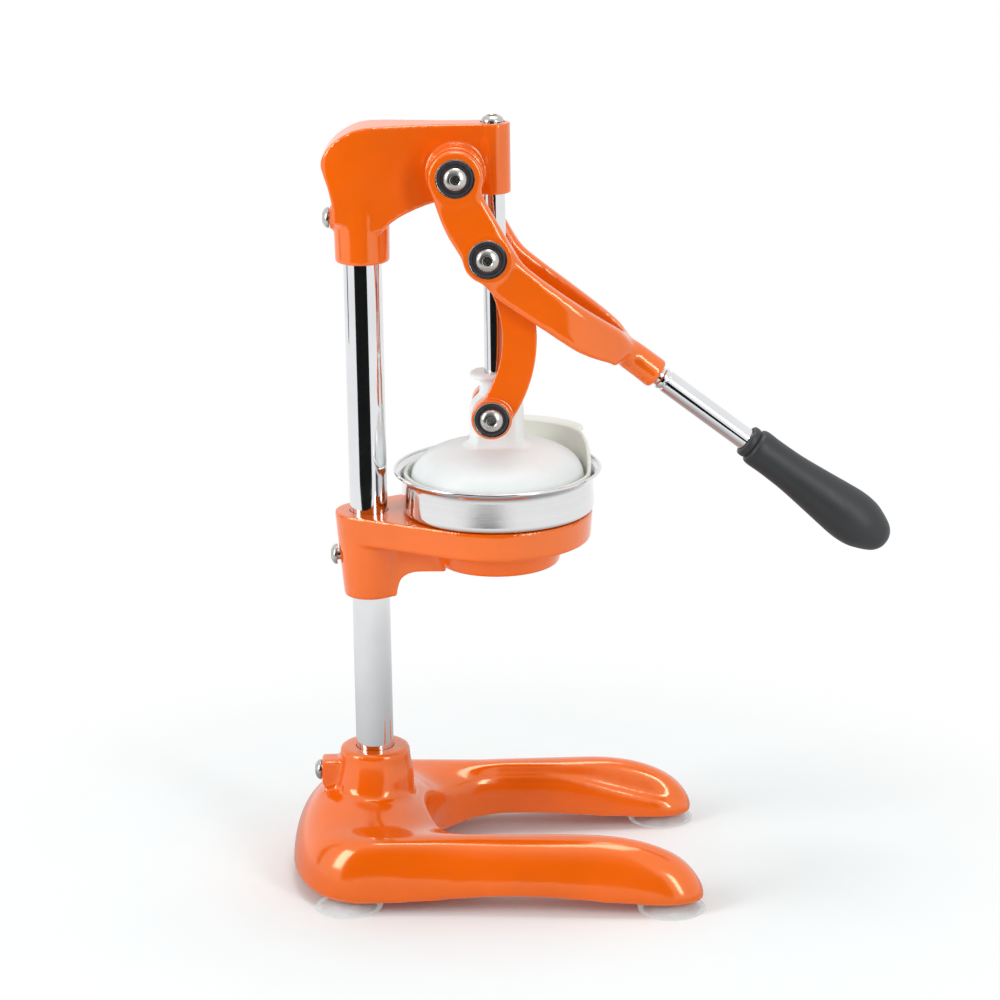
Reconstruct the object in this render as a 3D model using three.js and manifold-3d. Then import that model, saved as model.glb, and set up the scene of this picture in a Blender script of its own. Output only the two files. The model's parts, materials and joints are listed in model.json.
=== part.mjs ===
// Lever citrus juice press: a cast horseshoe foot carries a chrome pillar, the pillar carries a
// bowl bracket and a head, and a forked lever with two curved links pushes a plunger down into
// the strainer. Millimetres, +X towards the handle, +Z up, far side +Y.
import * as THREE from "three";
import { mergeVertices } from "three/addons/utils/BufferGeometryUtils.js";
import Module from "manifold-3d";

const wasm = await Module();
wasm.setup();

// Shared fits
const fitGap = 0.3;
const cutOverrun = 2;
const edgeRound = 1;

// Pillar and plunger
const pillarRadius = 9.75;
const pillarWall = 1.5;
const pillarTop = 372;
const plungerRadius = 5.85;

// Steel bowl
const bowlRadius = 49;
const bowlSheet = 0.8;
const bowlHeight = 21.9;
const bowlRimReach = 4.1;
const bowlRimFlareHeight = 5.5;
const bowlWellRadius = 26.5;
const bowlWellDepth = 12;
const bowlConeDepth = 7;
const bowlSpoutRadius = 8.5;
const bowlSpoutLength = 13.1;
const bowlPillarClearance = 3.25;
const bowlRimRadius = bowlRadius + bowlRimReach;
const pressAxisX = pillarRadius + bowlPillarClearance + bowlRimRadius;

// Suction feet
const footRadius = 17.5;
const footHeight = 5.7;
const footRimWidth = 3;
const footCollarRadius = 8;
const footStemRadius = 3.6;
const footStemLength = 8;
const footBossWall = 4.9;
const frontFootInset = 16.5;
const frontFootSideInset = 14.5;
const backFootInset = 31;
const backFootSideInset = 14;

// Horseshoe base
const baseBackX = -44;
const baseBackRoundX = -4;
const baseThroatX = 28;
const baseLegLength = 97.5;
const baseBackHalfWidth = 68;
const baseFrontHalfWidth = 76;
const baseSideWidth = 25;
const baseLegWidth = 31;
const baseRoundness = 2.2;
const baseEdgeHeight = footHeight + fitGap;
const baseArchRise = 5;
const baseCrestHeight = 37.5;
const baseNoseSlope = 58.5;
const baseNoseRound = 18.5;
const baseInnerRadius = baseBackHalfWidth - baseSideWidth;
const baseInnerCentreX = baseThroatX + baseInnerRadius;
const baseNoseX = baseInnerCentreX + baseLegLength;
const baseCreaseInset = 4;
const baseCreaseShare = 0.79;
const baseNoseCreaseShare = 0.45;
const baseFlankWidth = 15;
const baseEdgeRadius = 2.5;
const baseWall = 5;
const baseRoof = 5;
const baseBossHeight = 30;
const baseBossWall = 8.45;
const baseBossFlare = 8.3;
const baseBossFootDepth = 9.5;
const baseSocketFloor = 12;
const baseSocketFloorThickness = 4;
const baseSocketWall = 5.25;
const baseLugLength = 9.8;
const baseLugDrop = 6.7;
const baseLugHalfWidth = 6.5;
const baseScrewDrop = 13.5;
const baseBossTop = baseCrestHeight + baseBossHeight;
const baseBossRadius = pillarRadius + baseBossWall;
const baseLugX = -baseBossRadius - baseLugLength;
const baseLugTop = baseBossTop - baseLugDrop;
const baseScrewHeight = baseBossTop - baseScrewDrop;

// Head casting
const headCapHeight = 22.8;
const headHeight = 69.2;
const headArmHalfWidth = 8.75;
const headEndWall = 2.85;
const headEndHeight = 35.3;
const headHoodOverhang = 4.3;
const headHoodHalfWidth = 13.2;
const headSleeveWall = 3.25;
const headSleeveFlare = 0.9;
const headPivotBossRadius = 14;
const headScrewRise = 22.2;
const headScrewBossRadius = 5.8;
const headScrewBossReach = 2.8;
const headTop = pillarTop + headCapHeight;
const headSleeveBottom = headTop - headHeight;
const headSleeveRadius = pillarRadius + headSleeveWall;
const headEndRadius = plungerRadius + headEndWall;
const headScrewHeight = headSleeveBottom + headScrewRise;
const headScrewBossX = -headSleeveRadius - headScrewBossReach;

// Bowl bracket
const bracketDrop = 199;
const bracketThickness = 15;
const bracketDraft = 1.5;
const bracketNoseWall = 8.15;
const bracketSleeveWall = 3.85;
const bracketSleeveDepth = 44.8;
const bracketWebDepth = 31.3;
const bracketWebHalfWidth = 9.5;
const bracketHubDepth = 27.8;
const bracketHubWall = 4.4;
const bracketHubFlare = 4.1;
const bracketBoreClearance = 0.5;
const bracketScrewDepth = 23.6;
const bracketTop = headTop - bracketDrop;
const bracketBottom = bracketTop - bracketSleeveDepth;
const bracketNoseRadius = pillarRadius + bracketNoseWall;
const bracketSleeveRadius = pillarRadius + bracketSleeveWall;
const bracketBoreRadius = bowlWellRadius + bracketBoreClearance;
const bracketHubRadius = bracketBoreRadius + bracketHubWall;

// Plastic strainer with its reamer
const strainerWall = 2;
const strainerDraft = 1;
const strainerHeight = 19.1;
const strainerCrestRise = 14.5;
const strainerCrestAngle = 52;
const strainerCrestHalfAngle = 30;
const strainerCrestEndAngle = 70;
const strainerFloorRise = 4;
const strainerFloorThickness = 2;
const strainerTabLength = 7.6;
const strainerTabHalfAngle = 38;
const strainerTabThickness = 2;
const strainerSlotCount = 16;
const strainerSlotWidth = 2.4;
const strainerSlotMargin = 2;
const reamerRadius = 33;
const reamerHeight = 19;
const reamerShell = 2;
const strainerRadius = bowlRadius - bowlSheet - fitGap;
const strainerSeat = bracketTop + bowlSheet + fitGap * 2;
const strainerFloorLow = strainerSeat + strainerFloorRise;
const strainerFloorTop = strainerFloorLow + strainerFloorThickness;
const strainerRimHeight = strainerSeat + strainerHeight;
const strainerCrestHeight = strainerRimHeight + strainerCrestRise;

// Press cup: dome and hub
const cupClearance = 1.4;
const cupHeight = 26.5;
const cupSkirtHeight = 4;
const cupRoundness = 2.9;
const cupShell = 3;
const hubRadius = 13.8;
const hubFlare = 2.7;
const hubFlareHeight = 3;
const hubShoulderHeight = 20;
const hubNeckRadius = 8.5;
const hubNeckHeight = 27;
const hubHeight = 37.7;
const hubFlangeRadius = 13.5;
const hubFlangeThickness = 2.6;
const plungerSocketDepth = 11.5;
const lowerPivotHeight = 17.6;
const lowerPivotOffset = 2.5;
const crossAxleRadius = 5;
const cupRadius = strainerRadius - strainerWall - cupClearance;
const cupBottom = strainerFloorTop + fitGap;
const cupTop = cupBottom + cupHeight;
const hubTop = cupTop + hubHeight;

// Pivots of the linkage
const upperPivotOffset = 18.6;
const upperPivotDrop = 23.3;
const middlePivotReach = 15.3;
const middlePivotDrop = 40.5;
const upperPivotX = pressAxisX - upperPivotOffset;
const upperPivotZ = headTop - upperPivotDrop;
const middlePivotX = upperPivotX + middlePivotReach;
const middlePivotZ = upperPivotZ - middlePivotDrop;
const lowerPivotX = pressAxisX - lowerPivotOffset;
const lowerPivotZ = cupTop + lowerPivotHeight;

// Fasteners and bushes
const screwHeadRadius = 5.9;
const screwHeadHeight = 3.2;
const screwShankRadius = 3;
const screwSocketRadius = 2.3;
const screwSocketDepth = 1.7;
const setScrewHeadRadius = 5.3;
const topScrewHeadRadius = 5.55;
const topScrewLength = 12;
const bushRadius = 9.5;
const lowerBushRadius = 8.9;

// Links
const linkInnerY = 10.2;
const linkThickness = 8;
const linkHalfWidth = 8.7;
const linkBow = 14.9;
const linkTopEyeRadius = 12;
const linkBossWall = 1.4;
const linkBossHeight = 2.5;
const linkOuterY = linkInnerY + linkThickness;

// Fork
const forkReach = 100.3;
const forkDrop = 106.8;
const forkProngThickness = 9.5;
const forkEyeWall = 4.4;
const forkBossWall = 4.5;
const forkBossHeight = 0.8;
const forkNoseDepth = 10.8;
const forkNoseThickness = 18;
const forkWaistReach = 23.9;
const forkSocketRadius = 7.9;
const forkSocketLength = 22;
const handleSlope = 37.5;
const socketEndX = upperPivotX + forkReach;
const socketEndZ = upperPivotZ - forkDrop;
const forkEyeRadius = bushRadius + forkEyeWall;
const prongInnerY = linkOuterY + fitGap;
const prongFaceY = prongInnerY + forkProngThickness;
const slope = THREE.MathUtils.degToRad(handleSlope);

// Handle rod and grip
const handleRodRadius = 5.8;
const handleThreadRadius = 4;
const handleThreadLength = 16;
const handleNeckDepth = 0.9;
const handleNeckLength = 1.6;
const handleBeadLength = 2.2;
const handleFreeLength = 56.7;
const gripLength = 91.6;
const gripCollarWall = 2.5;
const gripCollarLength = 3.8;
const gripWaistWall = 3.9;
const gripSwell = 4.3;
const gripEndWall = 21.6;
const gripBoreDepth = gripLength - gripEndWall;

// Facets
const fineSteps = 36;
const rimSteps = 48;
const roundSteps = 24;
const mediumSteps = 16;
const smallSteps = 12;

// A closed three.js geometry as a solid that can be joined and cut.
function solid(geometry) {
  const bare = geometry.clone();
  bare.deleteAttribute("normal");
  bare.deleteAttribute("uv");
  const merged = mergeVertices(bare, 1e-4);
  return new wasm.Manifold(
    new wasm.Mesh({
      numProp: 3,
      vertProperties: merged.attributes.position.array,
      triVerts: new Uint32Array(merged.index.array),
    }),
  );
}

function geometryOf(body) {
  const mesh = body.getMesh();
  const geometry = new THREE.BufferGeometry();
  geometry.setAttribute("position", new THREE.BufferAttribute(mesh.vertProperties, 3));
  geometry.setIndex(new THREE.BufferAttribute(mesh.triVerts, 1));
  return geometry;
}

function joined(first, ...others) {
  return others.reduce((sum, other) => sum.add(other), first);
}

function cut(first, ...others) {
  return others.reduce((rest, other) => rest.subtract(other), first);
}

// A ring profile of [radius, height] points turned round the Z axis.
function turned(profile, steps = roundSteps) {
  const area = profile.reduce((sum, [r, z], i) => {
    const [nextR, nextZ] = profile[(i + 1) % profile.length];
    return sum + r * nextZ - nextR * z;
  }, 0);
  const ordered = area > 0 ? profile : [...profile].reverse();
  const points = ordered.map(([r, z]) => new THREE.Vector2(r, z));
  if (points[0].x !== 0 || points[points.length - 1].x !== 0) points.push(points[0].clone());
  return solid(new THREE.LatheGeometry(points, steps).rotateX(Math.PI / 2));
}

function cylinder(radius, low, high, steps = roundSteps) {
  return turned([[0, low], [radius, low], [radius, high], [0, high]], steps);
}

function moved(body, x, y, z) {
  return body.translate([x, y, z]);
}

// A Z-axis body laid along Y, its top towards the far side.
function laidAcross(body, x, z) {
  return body.rotate([-90, 0, 0]).translate([x, 0, z]);
}

// A Z-axis body laid along X, its top towards the back.
function laidBack(body, z) {
  return body.rotate([0, -90, 0]).translate([0, 0, z]);
}

// A Z-axis body laid along the handle, its origin at the end of the fork's socket.
function laidAlongHandle(body) {
  return body.rotate([0, 90 + handleSlope, 0]).translate([socketEndX, 0, socketEndZ]);
}

function shapeOf(points) {
  return new THREE.Shape(points.map(([x, y]) => new THREE.Vector2(x, y)));
}

// A plan outline of [x, y] points raised from low to high.
function raised(outline, low, high) {
  const geometry = new THREE.ExtrudeGeometry(shapeOf(outline), {
    depth: high - low,
    bevelEnabled: false,
  });
  return solid(geometry.translate(0, 0, low));
}

// A side outline of [x, z] points drawn across from one y to another.
function drawnAcross(outline, fromY, toY) {
  const geometry = new THREE.ExtrudeGeometry(shapeOf(outline), {
    depth: toY - fromY,
    bevelEnabled: false,
  });
  return solid(geometry.rotateX(Math.PI / 2).translate(0, toY, 0));
}

function smoothLine(points, steps) {
  const curve = new THREE.SplineCurve(points.map(([x, y]) => new THREE.Vector2(x, y)));
  return curve.getPoints(steps).map((p) => [p.x, p.y]);
}

function arc(centreX, centreY, radius, fromDegrees, toDegrees, steps) {
  return Array.from({ length: steps + 1 }, (_, i) => {
    const angle = THREE.MathUtils.degToRad(fromDegrees + ((toDegrees - fromDegrees) * i) / steps);
    return [centreX + radius * Math.cos(angle), centreY + radius * Math.sin(angle)];
  });
}

// A skin over rows of points. An open row of rows is closed by a cap at each end.
function lofted(rows, ring = false) {
  const size = rows[0].length;
  const positions = rows.flat().flat();
  const triangles = [];
  const bands = ring ? rows.length : rows.length - 1;
  for (let row = 0; row < bands; row++) {
    const next = (row + 1) % rows.length;
    for (let i = 0; i < size; i++) {
      const a = row * size + i;
      const b = row * size + ((i + 1) % size);
      const c = next * size + i;
      const d = next * size + ((i + 1) % size);
      triangles.push(a, b, d, a, d, c);
    }
  }
  if (!ring) {
    for (const [row, flip] of [[0, true], [rows.length - 1, false]]) {
      const centre = positions.length / 3;
      const sum = rows[row].reduce((s, p) => [s[0] + p[0], s[1] + p[1], s[2] + p[2]], [0, 0, 0]);
      positions.push(...sum.map((v) => v / size));
      for (let i = 0; i < size; i++) {
        const a = row * size + i;
        const b = row * size + ((i + 1) % size);
        triangles.push(...(flip ? [b, a, centre] : [a, b, centre]));
      }
    }
  }
  const geometry = new THREE.BufferGeometry();
  geometry.setAttribute("position", new THREE.Float32BufferAttribute(positions, 3));
  geometry.setIndex(triangles);
  const body = solid(geometry);
  return body.volume() < 0 ? lofted([...rows].reverse(), ring) : body;
}

function mix(a, b, share) {
  return a + (b - a) * share;
}

function eased(share) {
  const t = Math.min(1, Math.max(0, share));
  return t * t * (3 - 2 * t);
}

// Quarter of a superellipse: 1 at share 0, falling to 0 at share 1.
function fall(share, roundness) {
  return Math.pow(Math.max(0, 1 - Math.pow(share, roundness)), 1 / roundness);
}

// Points written as shares of the box from one corner to the other.
function spanned(shares, [lowX, lowY], [highX, highY]) {
  return shares.map(([x, y]) => [mix(lowX, highX, x), mix(lowY, highY, y)]);
}

// Places round the nose of a leg and along its straight run, as shares of each.
const nosePlaceShares = [0.995, 0.93, 0.78, 0.55, 0.2];
const runPlaceShares = [0.1, 0.26, 0.47, 0.73];
const legStraightShare = 0.42;
const backTurns = 10;

function baseOuterY(x) {
  const share = (x - baseBackRoundX) / (baseNoseX - baseBackRoundX);
  return mix(baseBackHalfWidth, baseFrontHalfWidth, eased(share));
}

// A cut across one leg at x, as wide as a share of it: where its edges stand in plan.
function legStation(x, width) {
  const outer = baseOuterY(Math.min(x, baseNoseX - baseNoseRound));
  const middle = outer - baseLegWidth / 2;
  const straightens = eased((x - baseInnerCentreX) / baseNoseSlope);
  const inner = mix(baseInnerRadius, outer - baseLegWidth, straightens);
  return {
    x,
    inner: [x, -mix(middle, inner, width)],
    outer: [x, -mix(middle, outer, width)],
  };
}

// A cut across the back, fanned out round the inner half circle.
function backStation(turn) {
  const angle = (Math.PI / 2) * turn;
  const inner = [
    baseInnerCentreX - baseInnerRadius * Math.sin(angle),
    -baseInnerRadius * Math.cos(angle),
  ];
  if (turn < legStraightShare) {
    const x = mix(baseInnerCentreX, baseBackRoundX, turn / legStraightShare);
    return { x: inner[0], inner, outer: [x, -baseOuterY(x)] };
  }
  const round = ((Math.PI / 2) * (turn - legStraightShare)) / (1 - legStraightShare);
  const power = 2 / baseRoundness;
  const outer = [
    baseBackRoundX - (baseBackRoundX - baseBackX) * Math.pow(Math.sin(round), power),
    -baseBackHalfWidth * Math.pow(Math.max(0, Math.cos(round)), power),
  ];
  return { x: inner[0], inner, outer };
}

// The cuts across the horseshoe, from the near nose round the back to the far nose.
function baseStations() {
  const roundX = baseNoseX - baseNoseRound;
  const near = [
    ...nosePlaceShares.map((share) =>
      legStation(roundX + baseNoseRound * share, fall(share, baseRoundness)),
    ),
    ...runPlaceShares.map((share) => legStation(mix(roundX, baseInnerCentreX, share), 1)),
  ];
  for (let i = 0; i <= backTurns; i++) near.push(backStation(i / backTurns));
  const far = near.slice(0, -1).map(({ x, inner, outer }) => ({
    x,
    inner: [inner[0], -inner[1]],
    outer: [outer[0], -outer[1]],
  }));
  return [...near, ...far.reverse()];
}

// Heights of the underside, the crest and the inner crease where a cut stands.
function baseHeights(x) {
  const nose = Math.min(1, Math.max(0, (x - baseNoseX + baseNoseSlope) / baseNoseSlope));
  const archLength = baseNoseX - frontFootInset - baseBackRoundX;
  const arch = Math.min(1, Math.max(0, (x - baseBackRoundX) / archLength));
  const edge = baseEdgeHeight + baseArchRise * Math.pow(Math.sin(Math.PI * arch), 2);
  const crest = mix(edge, baseCrestHeight, Math.sqrt(1 - Math.pow(nose, baseRoundness)));
  const creaseReach = baseNoseX - baseNoseRound - baseInnerCentreX - baseLegWidth / 2;
  const lowered = eased((x - baseInnerCentreX - baseLegWidth / 2) / creaseReach);
  const crease = mix(edge, crest, mix(baseCreaseShare, baseNoseCreaseShare, lowered));
  return { edge, crest, crease };
}

function acrossStation({ inner, outer }, width, points) {
  return points.map(([d, z]) => [
    mix(inner[0], outer[0], d / width),
    mix(inner[1], outer[1], d / width),
    z,
  ]);
}

const innerWallShares = [[0, 0.2], [0.35, 0.85], [1, 1]];
const crownShares = [[0.3, 0.66], [0.65, 0.94], [1, 1]];
const flankShares = [[0.38, 0.94], [0.71, 0.74], [0.92, 0.44], [1, 0.14]];
const narrowFlankShare = 0.5;
const narrowInsetShare = 0.16;
const narrowEdgeShare = 0.1;

function widthOf({ inner, outer }) {
  return Math.hypot(outer[0] - inner[0], outer[1] - inner[1]);
}

// One cut of the base skin, from its inner foot over the crest to its outer foot.
function baseSection(station) {
  const width = widthOf(station);
  const { edge, crest, crease } = baseHeights(station.x);
  const crown = width - Math.min(baseFlankWidth, width * narrowFlankShare);
  const inset = Math.min(baseCreaseInset, width * narrowInsetShare);
  const lip = Math.min(baseEdgeRadius, width * narrowEdgeShare);
  return acrossStation(station, width, [
    [lip / 2, edge],
    ...spanned(innerWallShares, [0, edge], [inset, crease]),
    ...spanned(crownShares, [inset, crease], [crown, crest]),
    ...spanned(flankShares, [crown, edge], [width, crest]),
    [width - lip, edge],
  ]);
}

// The hollow under the skin, one wall in from each side and one roof down from the crest.
function baseHollowSection(station) {
  const width = widthOf(station);
  const { edge, crest, crease } = baseHeights(station.x);
  const flank = width - baseWall - baseFlankWidth / 3;
  return acrossStation(station, width, [
    [baseWall, -cutOverrun],
    [baseWall, (edge + crease) / 2],
    [baseWall + baseCreaseInset, crease - baseRoof],
    [width - baseFlankWidth - baseWall / 2, crest - baseRoof],
    [flank, (edge + crest) / 2],
    [width - baseWall, edge],
    [width - baseWall, -cutOverrun],
  ]);
}

const frontFootX = baseNoseX - frontFootInset;
const frontFootY = baseFrontHalfWidth - frontFootSideInset;
const backFootX = baseBackX + backFootInset;
const backFootY = baseBackHalfWidth - backFootSideInset;
const footPlaces = {
  front_near: [frontFootX, -frontFootY],
  front_far: [frontFootX, frontFootY],
  back_near: [backFootX, -backFootY],
  back_far: [backFootX, backFootY],
};

const bossFlareShares = [[1, 0.23], [0.7, 0.34], [0.5, 0.47], [0.22, 0.75]];

function baseCasting() {
  const stations = baseStations();
  const hollowEnd = frontFootX + footStemRadius;
  const hollow = stations.filter(({ x }) => x < hollowEnd);
  const bossFoot = baseCrestHeight - baseBossFootDepth;
  const bossFootRadius = baseBossRadius + baseBossFlare;
  const boss = turned([
    [0, bossFoot],
    [bossFootRadius, bossFoot],
    ...spanned(bossFlareShares, [baseBossRadius, bossFoot], [bossFootRadius, baseBossTop]),
    [baseBossRadius, baseBossTop - edgeRound],
    [baseBossRadius - edgeRound, baseBossTop],
    [0, baseBossTop],
  ]);
  const lugBottom = baseScrewHeight * 2 - baseLugTop;
  const lug = drawnAcross(
    [
      [-pillarRadius, baseLugTop],
      [-pillarRadius, baseCrestHeight],
      [-baseBossRadius, baseCrestHeight],
      [baseLugX, lugBottom],
      [baseLugX, baseLugTop],
    ],
    -baseLugHalfWidth,
    baseLugHalfWidth,
  );
  const columnFoot = baseSocketFloor - baseSocketFloorThickness;
  const column = cylinder(pillarRadius + baseSocketWall, columnFoot, baseCrestHeight);
  const stemTop = footHeight + footStemLength + fitGap;
  const atFeet = (body) => Object.values(footPlaces).map(([x, y]) => moved(body, x, y, 0));
  const boreRadius = footStemRadius + fitGap;
  const footBosses = atFeet(
    cylinder(footStemRadius + footBossWall, baseEdgeHeight, baseCrestHeight / 2, smallSteps),
  );
  const footBores = atFeet(cylinder(boreRadius, -cutOverrun, stemTop, smallSteps));
  const shell = cut(lofted(stations.map(baseSection)), lofted(hollow.map(baseHollowSection)));
  return cut(
    joined(shell, boss, lug, column, ...footBosses),
    cylinder(pillarRadius + fitGap, baseSocketFloor, baseBossTop + cutOverrun),
    screwHole(baseLugX, baseScrewHeight),
    ...footBores,
  );
}

// A radial hole for a set screw, from outside the given x to the pillar.
function screwHole(outsideX, height) {
  return laidBack(
    cylinder(screwShankRadius + fitGap, pillarRadius - cutOverrun, -outsideX + cutOverrun, smallSteps),
    height,
  );
}

const footRimShares = [[1, 0.15], [0.78, 0.6]];
const footHollowShares = [[0, 0.5], [0.55, 0.38]];
const footTipShare = 0.7;
const footTaperShare = 0.85;

function suctionFoot() {
  return turned(
    [
      ...spanned(footHollowShares, [0, 0], [footRadius, footHeight]),
      [footRadius - footRimWidth, 0],
      [footRadius, 0],
      ...spanned(footRimShares, [0, 0], [footRadius, footHeight]),
      [footCollarRadius, footHeight * footTaperShare],
      [footCollarRadius, footHeight],
      [footStemRadius, footHeight],
      [footStemRadius, footHeight + footStemLength * footTaperShare],
      [footStemRadius * footTipShare, footHeight + footStemLength],
      [0, footHeight + footStemLength],
    ],
    mediumSteps,
  );
}

// The bracket's plan: a round nose at the pillar joined by straight sides to the bowl's ring.
function bracketPlan(inset) {
  const nose = bracketNoseRadius - inset;
  const ring = bowlRadius - inset;
  const lean = THREE.MathUtils.radToDeg(Math.asin((ring - nose) / pressAxisX));
  return [
    ...arc(pressAxisX, 0, ring, -90 - lean, 90 + lean, (fineSteps * 3) / 4),
    ...arc(0, 0, nose, 90 + lean, 270 - lean, smallSteps),
  ];
}

const webFilletShares = [[0.03, 0.4], [0.13, 0.8], [0.4, 1]];
const hubFlareShares = [[0.4, 0.6]];

function bowlBracket() {
  const plateBottom = bracketTop - bracketThickness;
  const inPlate = plateBottom + cutOverrun;
  const plate = lofted([
    bracketPlan(bracketDraft).map(([x, y]) => [x, y, plateBottom]),
    bracketPlan(0).map(([x, y]) => [x, y, bracketTop]),
  ]);
  const sleeve = turned([
    [0, bracketBottom],
    [bracketSleeveRadius, bracketBottom],
    [bracketNoseRadius - bracketDraft, inPlate],
    [0, inPlate],
  ]);
  const boreX = pressAxisX - bracketBoreRadius;
  const webBottom = bracketTop - bracketWebDepth;
  const hubBottom = bracketTop - bracketHubDepth;
  const web = drawnAcross(
    [
      [pillarRadius, inPlate],
      [pillarRadius, bracketBottom + fitGap],
      [bracketSleeveRadius, bracketBottom + fitGap],
      ...spanned(webFilletShares, [bracketSleeveRadius, bracketBottom], [boreX, webBottom]),
      [boreX, hubBottom],
      [boreX, inPlate],
    ],
    -bracketWebHalfWidth,
    bracketWebHalfWidth,
  );
  const hubTopRadius = bracketHubRadius + bracketHubFlare;
  const hub = turned(
    [
      [0, hubBottom],
      [bracketHubRadius - edgeRound, hubBottom],
      [bracketHubRadius, hubBottom + edgeRound],
      ...spanned(hubFlareShares, [bracketHubRadius, hubBottom], [hubTopRadius, plateBottom]),
      [hubTopRadius, inPlate],
      [0, inPlate],
    ],
    fineSteps,
  );
  const bowlBore = cylinder(
    bracketBoreRadius,
    hubBottom - cutOverrun,
    bracketTop + cutOverrun,
    fineSteps,
  );
  return cut(
    joined(plate, sleeve, web, moved(hub, pressAxisX, 0, 0)),
    cylinder(pillarRadius + fitGap, bracketBottom - cutOverrun, bracketTop + cutOverrun),
    moved(bowlBore, pressAxisX, 0, 0),
    screwHole(-bracketNoseRadius, bracketTop - bracketScrewDepth),
  );
}

const rimFlareShares = [[0.2, 0.55]];
const rimInsideShare = 0.25;

// The bowl is one pressed sheet: its outside run, then the same run back one sheet inside.
function juiceBowl() {
  const floor = bracketTop + fitGap;
  const well = floor - bowlWellDepth;
  const cone = well - bowlConeDepth;
  const spoutBottom = cone - bowlSpoutLength;
  const bowlRimTop = floor + bowlHeight;
  const flareStart = bowlRimTop - bowlRimFlareHeight;
  const corner = bowlSheet * 2;
  const outside = [
    [bowlSpoutRadius, spoutBottom],
    [bowlSpoutRadius, cone],
    [bowlWellRadius, well],
    [bowlWellRadius, floor],
    [bowlRadius - corner, floor],
    [bowlRadius, floor + corner],
    [bowlRadius, flareStart],
    ...spanned(rimFlareShares, [bowlRadius, flareStart], [bowlRimRadius, bowlRimTop]),
    [bowlRimRadius, bowlRimTop - bowlSheet],
    [bowlRimRadius, bowlRimTop],
  ];
  const inside = [
    [mix(bowlRadius, bowlRimRadius, rimInsideShare), bowlRimTop],
    [bowlRadius - bowlSheet, flareStart],
    [bowlRadius - bowlSheet, floor + corner],
    [bowlRadius - corner - bowlSheet, floor + bowlSheet],
    [bowlWellRadius - bowlSheet, floor + bowlSheet],
    [bowlWellRadius - bowlSheet, well + bowlSheet],
    [bowlSpoutRadius - bowlSheet, cone + bowlSheet],
    [bowlSpoutRadius - bowlSheet, spoutBottom],
  ];
  return moved(turned([...outside, ...inside], fineSteps), pressAxisX, 0, 0);
}

function strainerRim(degrees) {
  const away = Math.abs(((degrees - strainerCrestAngle + 540) % 360) - 180);
  const share = (strainerCrestEndAngle - away) / (strainerCrestEndAngle - strainerCrestHalfAngle);
  return mix(strainerRimHeight, strainerCrestHeight, eased(share));
}

const reamerShares = [[1, 0], [0.64, 0.48], [0.12, 0.95], [0, 1]];
const tabFullness = 3;
const tabRoundness = 0.8;

function strainer() {
  const foot = strainerRadius - strainerDraft;
  const wall = lofted(
    Array.from({ length: rimSteps }, (_, i) => {
      const degrees = (i * 360) / rimSteps;
      const angle = THREE.MathUtils.degToRad(degrees);
      const top = strainerRim(degrees);
      return [
        [foot - strainerWall, strainerSeat],
        [foot, strainerSeat],
        [strainerRadius, top - strainerWall / 2],
        [strainerRadius - strainerWall / 4, top],
        [strainerRadius - (strainerWall * 3) / 4, top],
        [strainerRadius - strainerWall, top - strainerWall / 2],
      ].map(([r, z]) => [r * Math.cos(angle), r * Math.sin(angle), z]);
    }),
    true,
  );
  const inWall = foot - strainerWall / 2;
  const tip = strainerFloorTop + reamerHeight;
  const reamer = spanned(reamerShares, [0, strainerFloorTop], [reamerRadius, tip]);
  const under = spanned(
    reamerShares,
    [0, strainerFloorLow],
    [reamerRadius - reamerShell, tip - reamerShell * 2],
  );
  const floor = turned(
    [[inWall, strainerFloorLow], [inWall, strainerFloorTop], ...reamer, ...under.reverse()],
    fineSteps,
  );
  const reachAt = (share) => {
    const angle = THREE.MathUtils.degToRad(strainerCrestAngle + strainerTabHalfAngle * share);
    const out = Math.pow(fall(Math.abs(share), tabFullness), tabRoundness);
    const reach = strainerRadius + strainerTabLength * out;
    return [reach * Math.cos(angle), reach * Math.sin(angle)];
  };
  const tab = raised(
    [
      ...arc(
        0,
        0,
        strainerRadius - strainerWall / 2,
        strainerCrestAngle + strainerTabHalfAngle,
        strainerCrestAngle - strainerTabHalfAngle,
        smallSteps,
      ),
      ...Array.from({ length: smallSteps - 1 }, (_, i) => reachAt((2 * (i + 1)) / smallSteps - 1)),
    ],
    strainerCrestHeight - strainerTabThickness,
    strainerCrestHeight,
  );
  const slotInner = reamerRadius + strainerSlotMargin;
  const slotOuter = foot - strainerWall - strainerSlotMargin;
  const slot = raised(
    [
      [slotInner, -strainerSlotWidth / 2],
      [slotOuter, -strainerSlotWidth / 2],
      [slotOuter, strainerSlotWidth / 2],
      [slotInner, strainerSlotWidth / 2],
    ],
    strainerFloorLow - cutOverrun,
    strainerFloorTop + cutOverrun,
  );
  const slots = Array.from({ length: strainerSlotCount }, (_, i) =>
    slot.rotate([0, 0, (i * 360) / strainerSlotCount]),
  );
  return moved(cut(joined(wall, floor, tab), ...slots), pressAxisX, 0, 0);
}

const domeCrowding = 0.8;
const outerDomeSteps = 8;
const innerDomeSteps = 5;

// Dome outline from its edge to its middle, as [radius, height] points.
function domeLine(radius, top, steps) {
  return Array.from({ length: steps + 1 }, (_, i) => {
    const out = Math.pow(Math.sin((Math.PI / 2) * (1 - i / steps)), domeCrowding);
    return [radius * out, top - (cupHeight - cupSkirtHeight) * (1 - fall(out, cupRoundness))];
  });
}

const hubFlareShare = 0.25;
const hubShoulderShare = 0.6;

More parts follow.
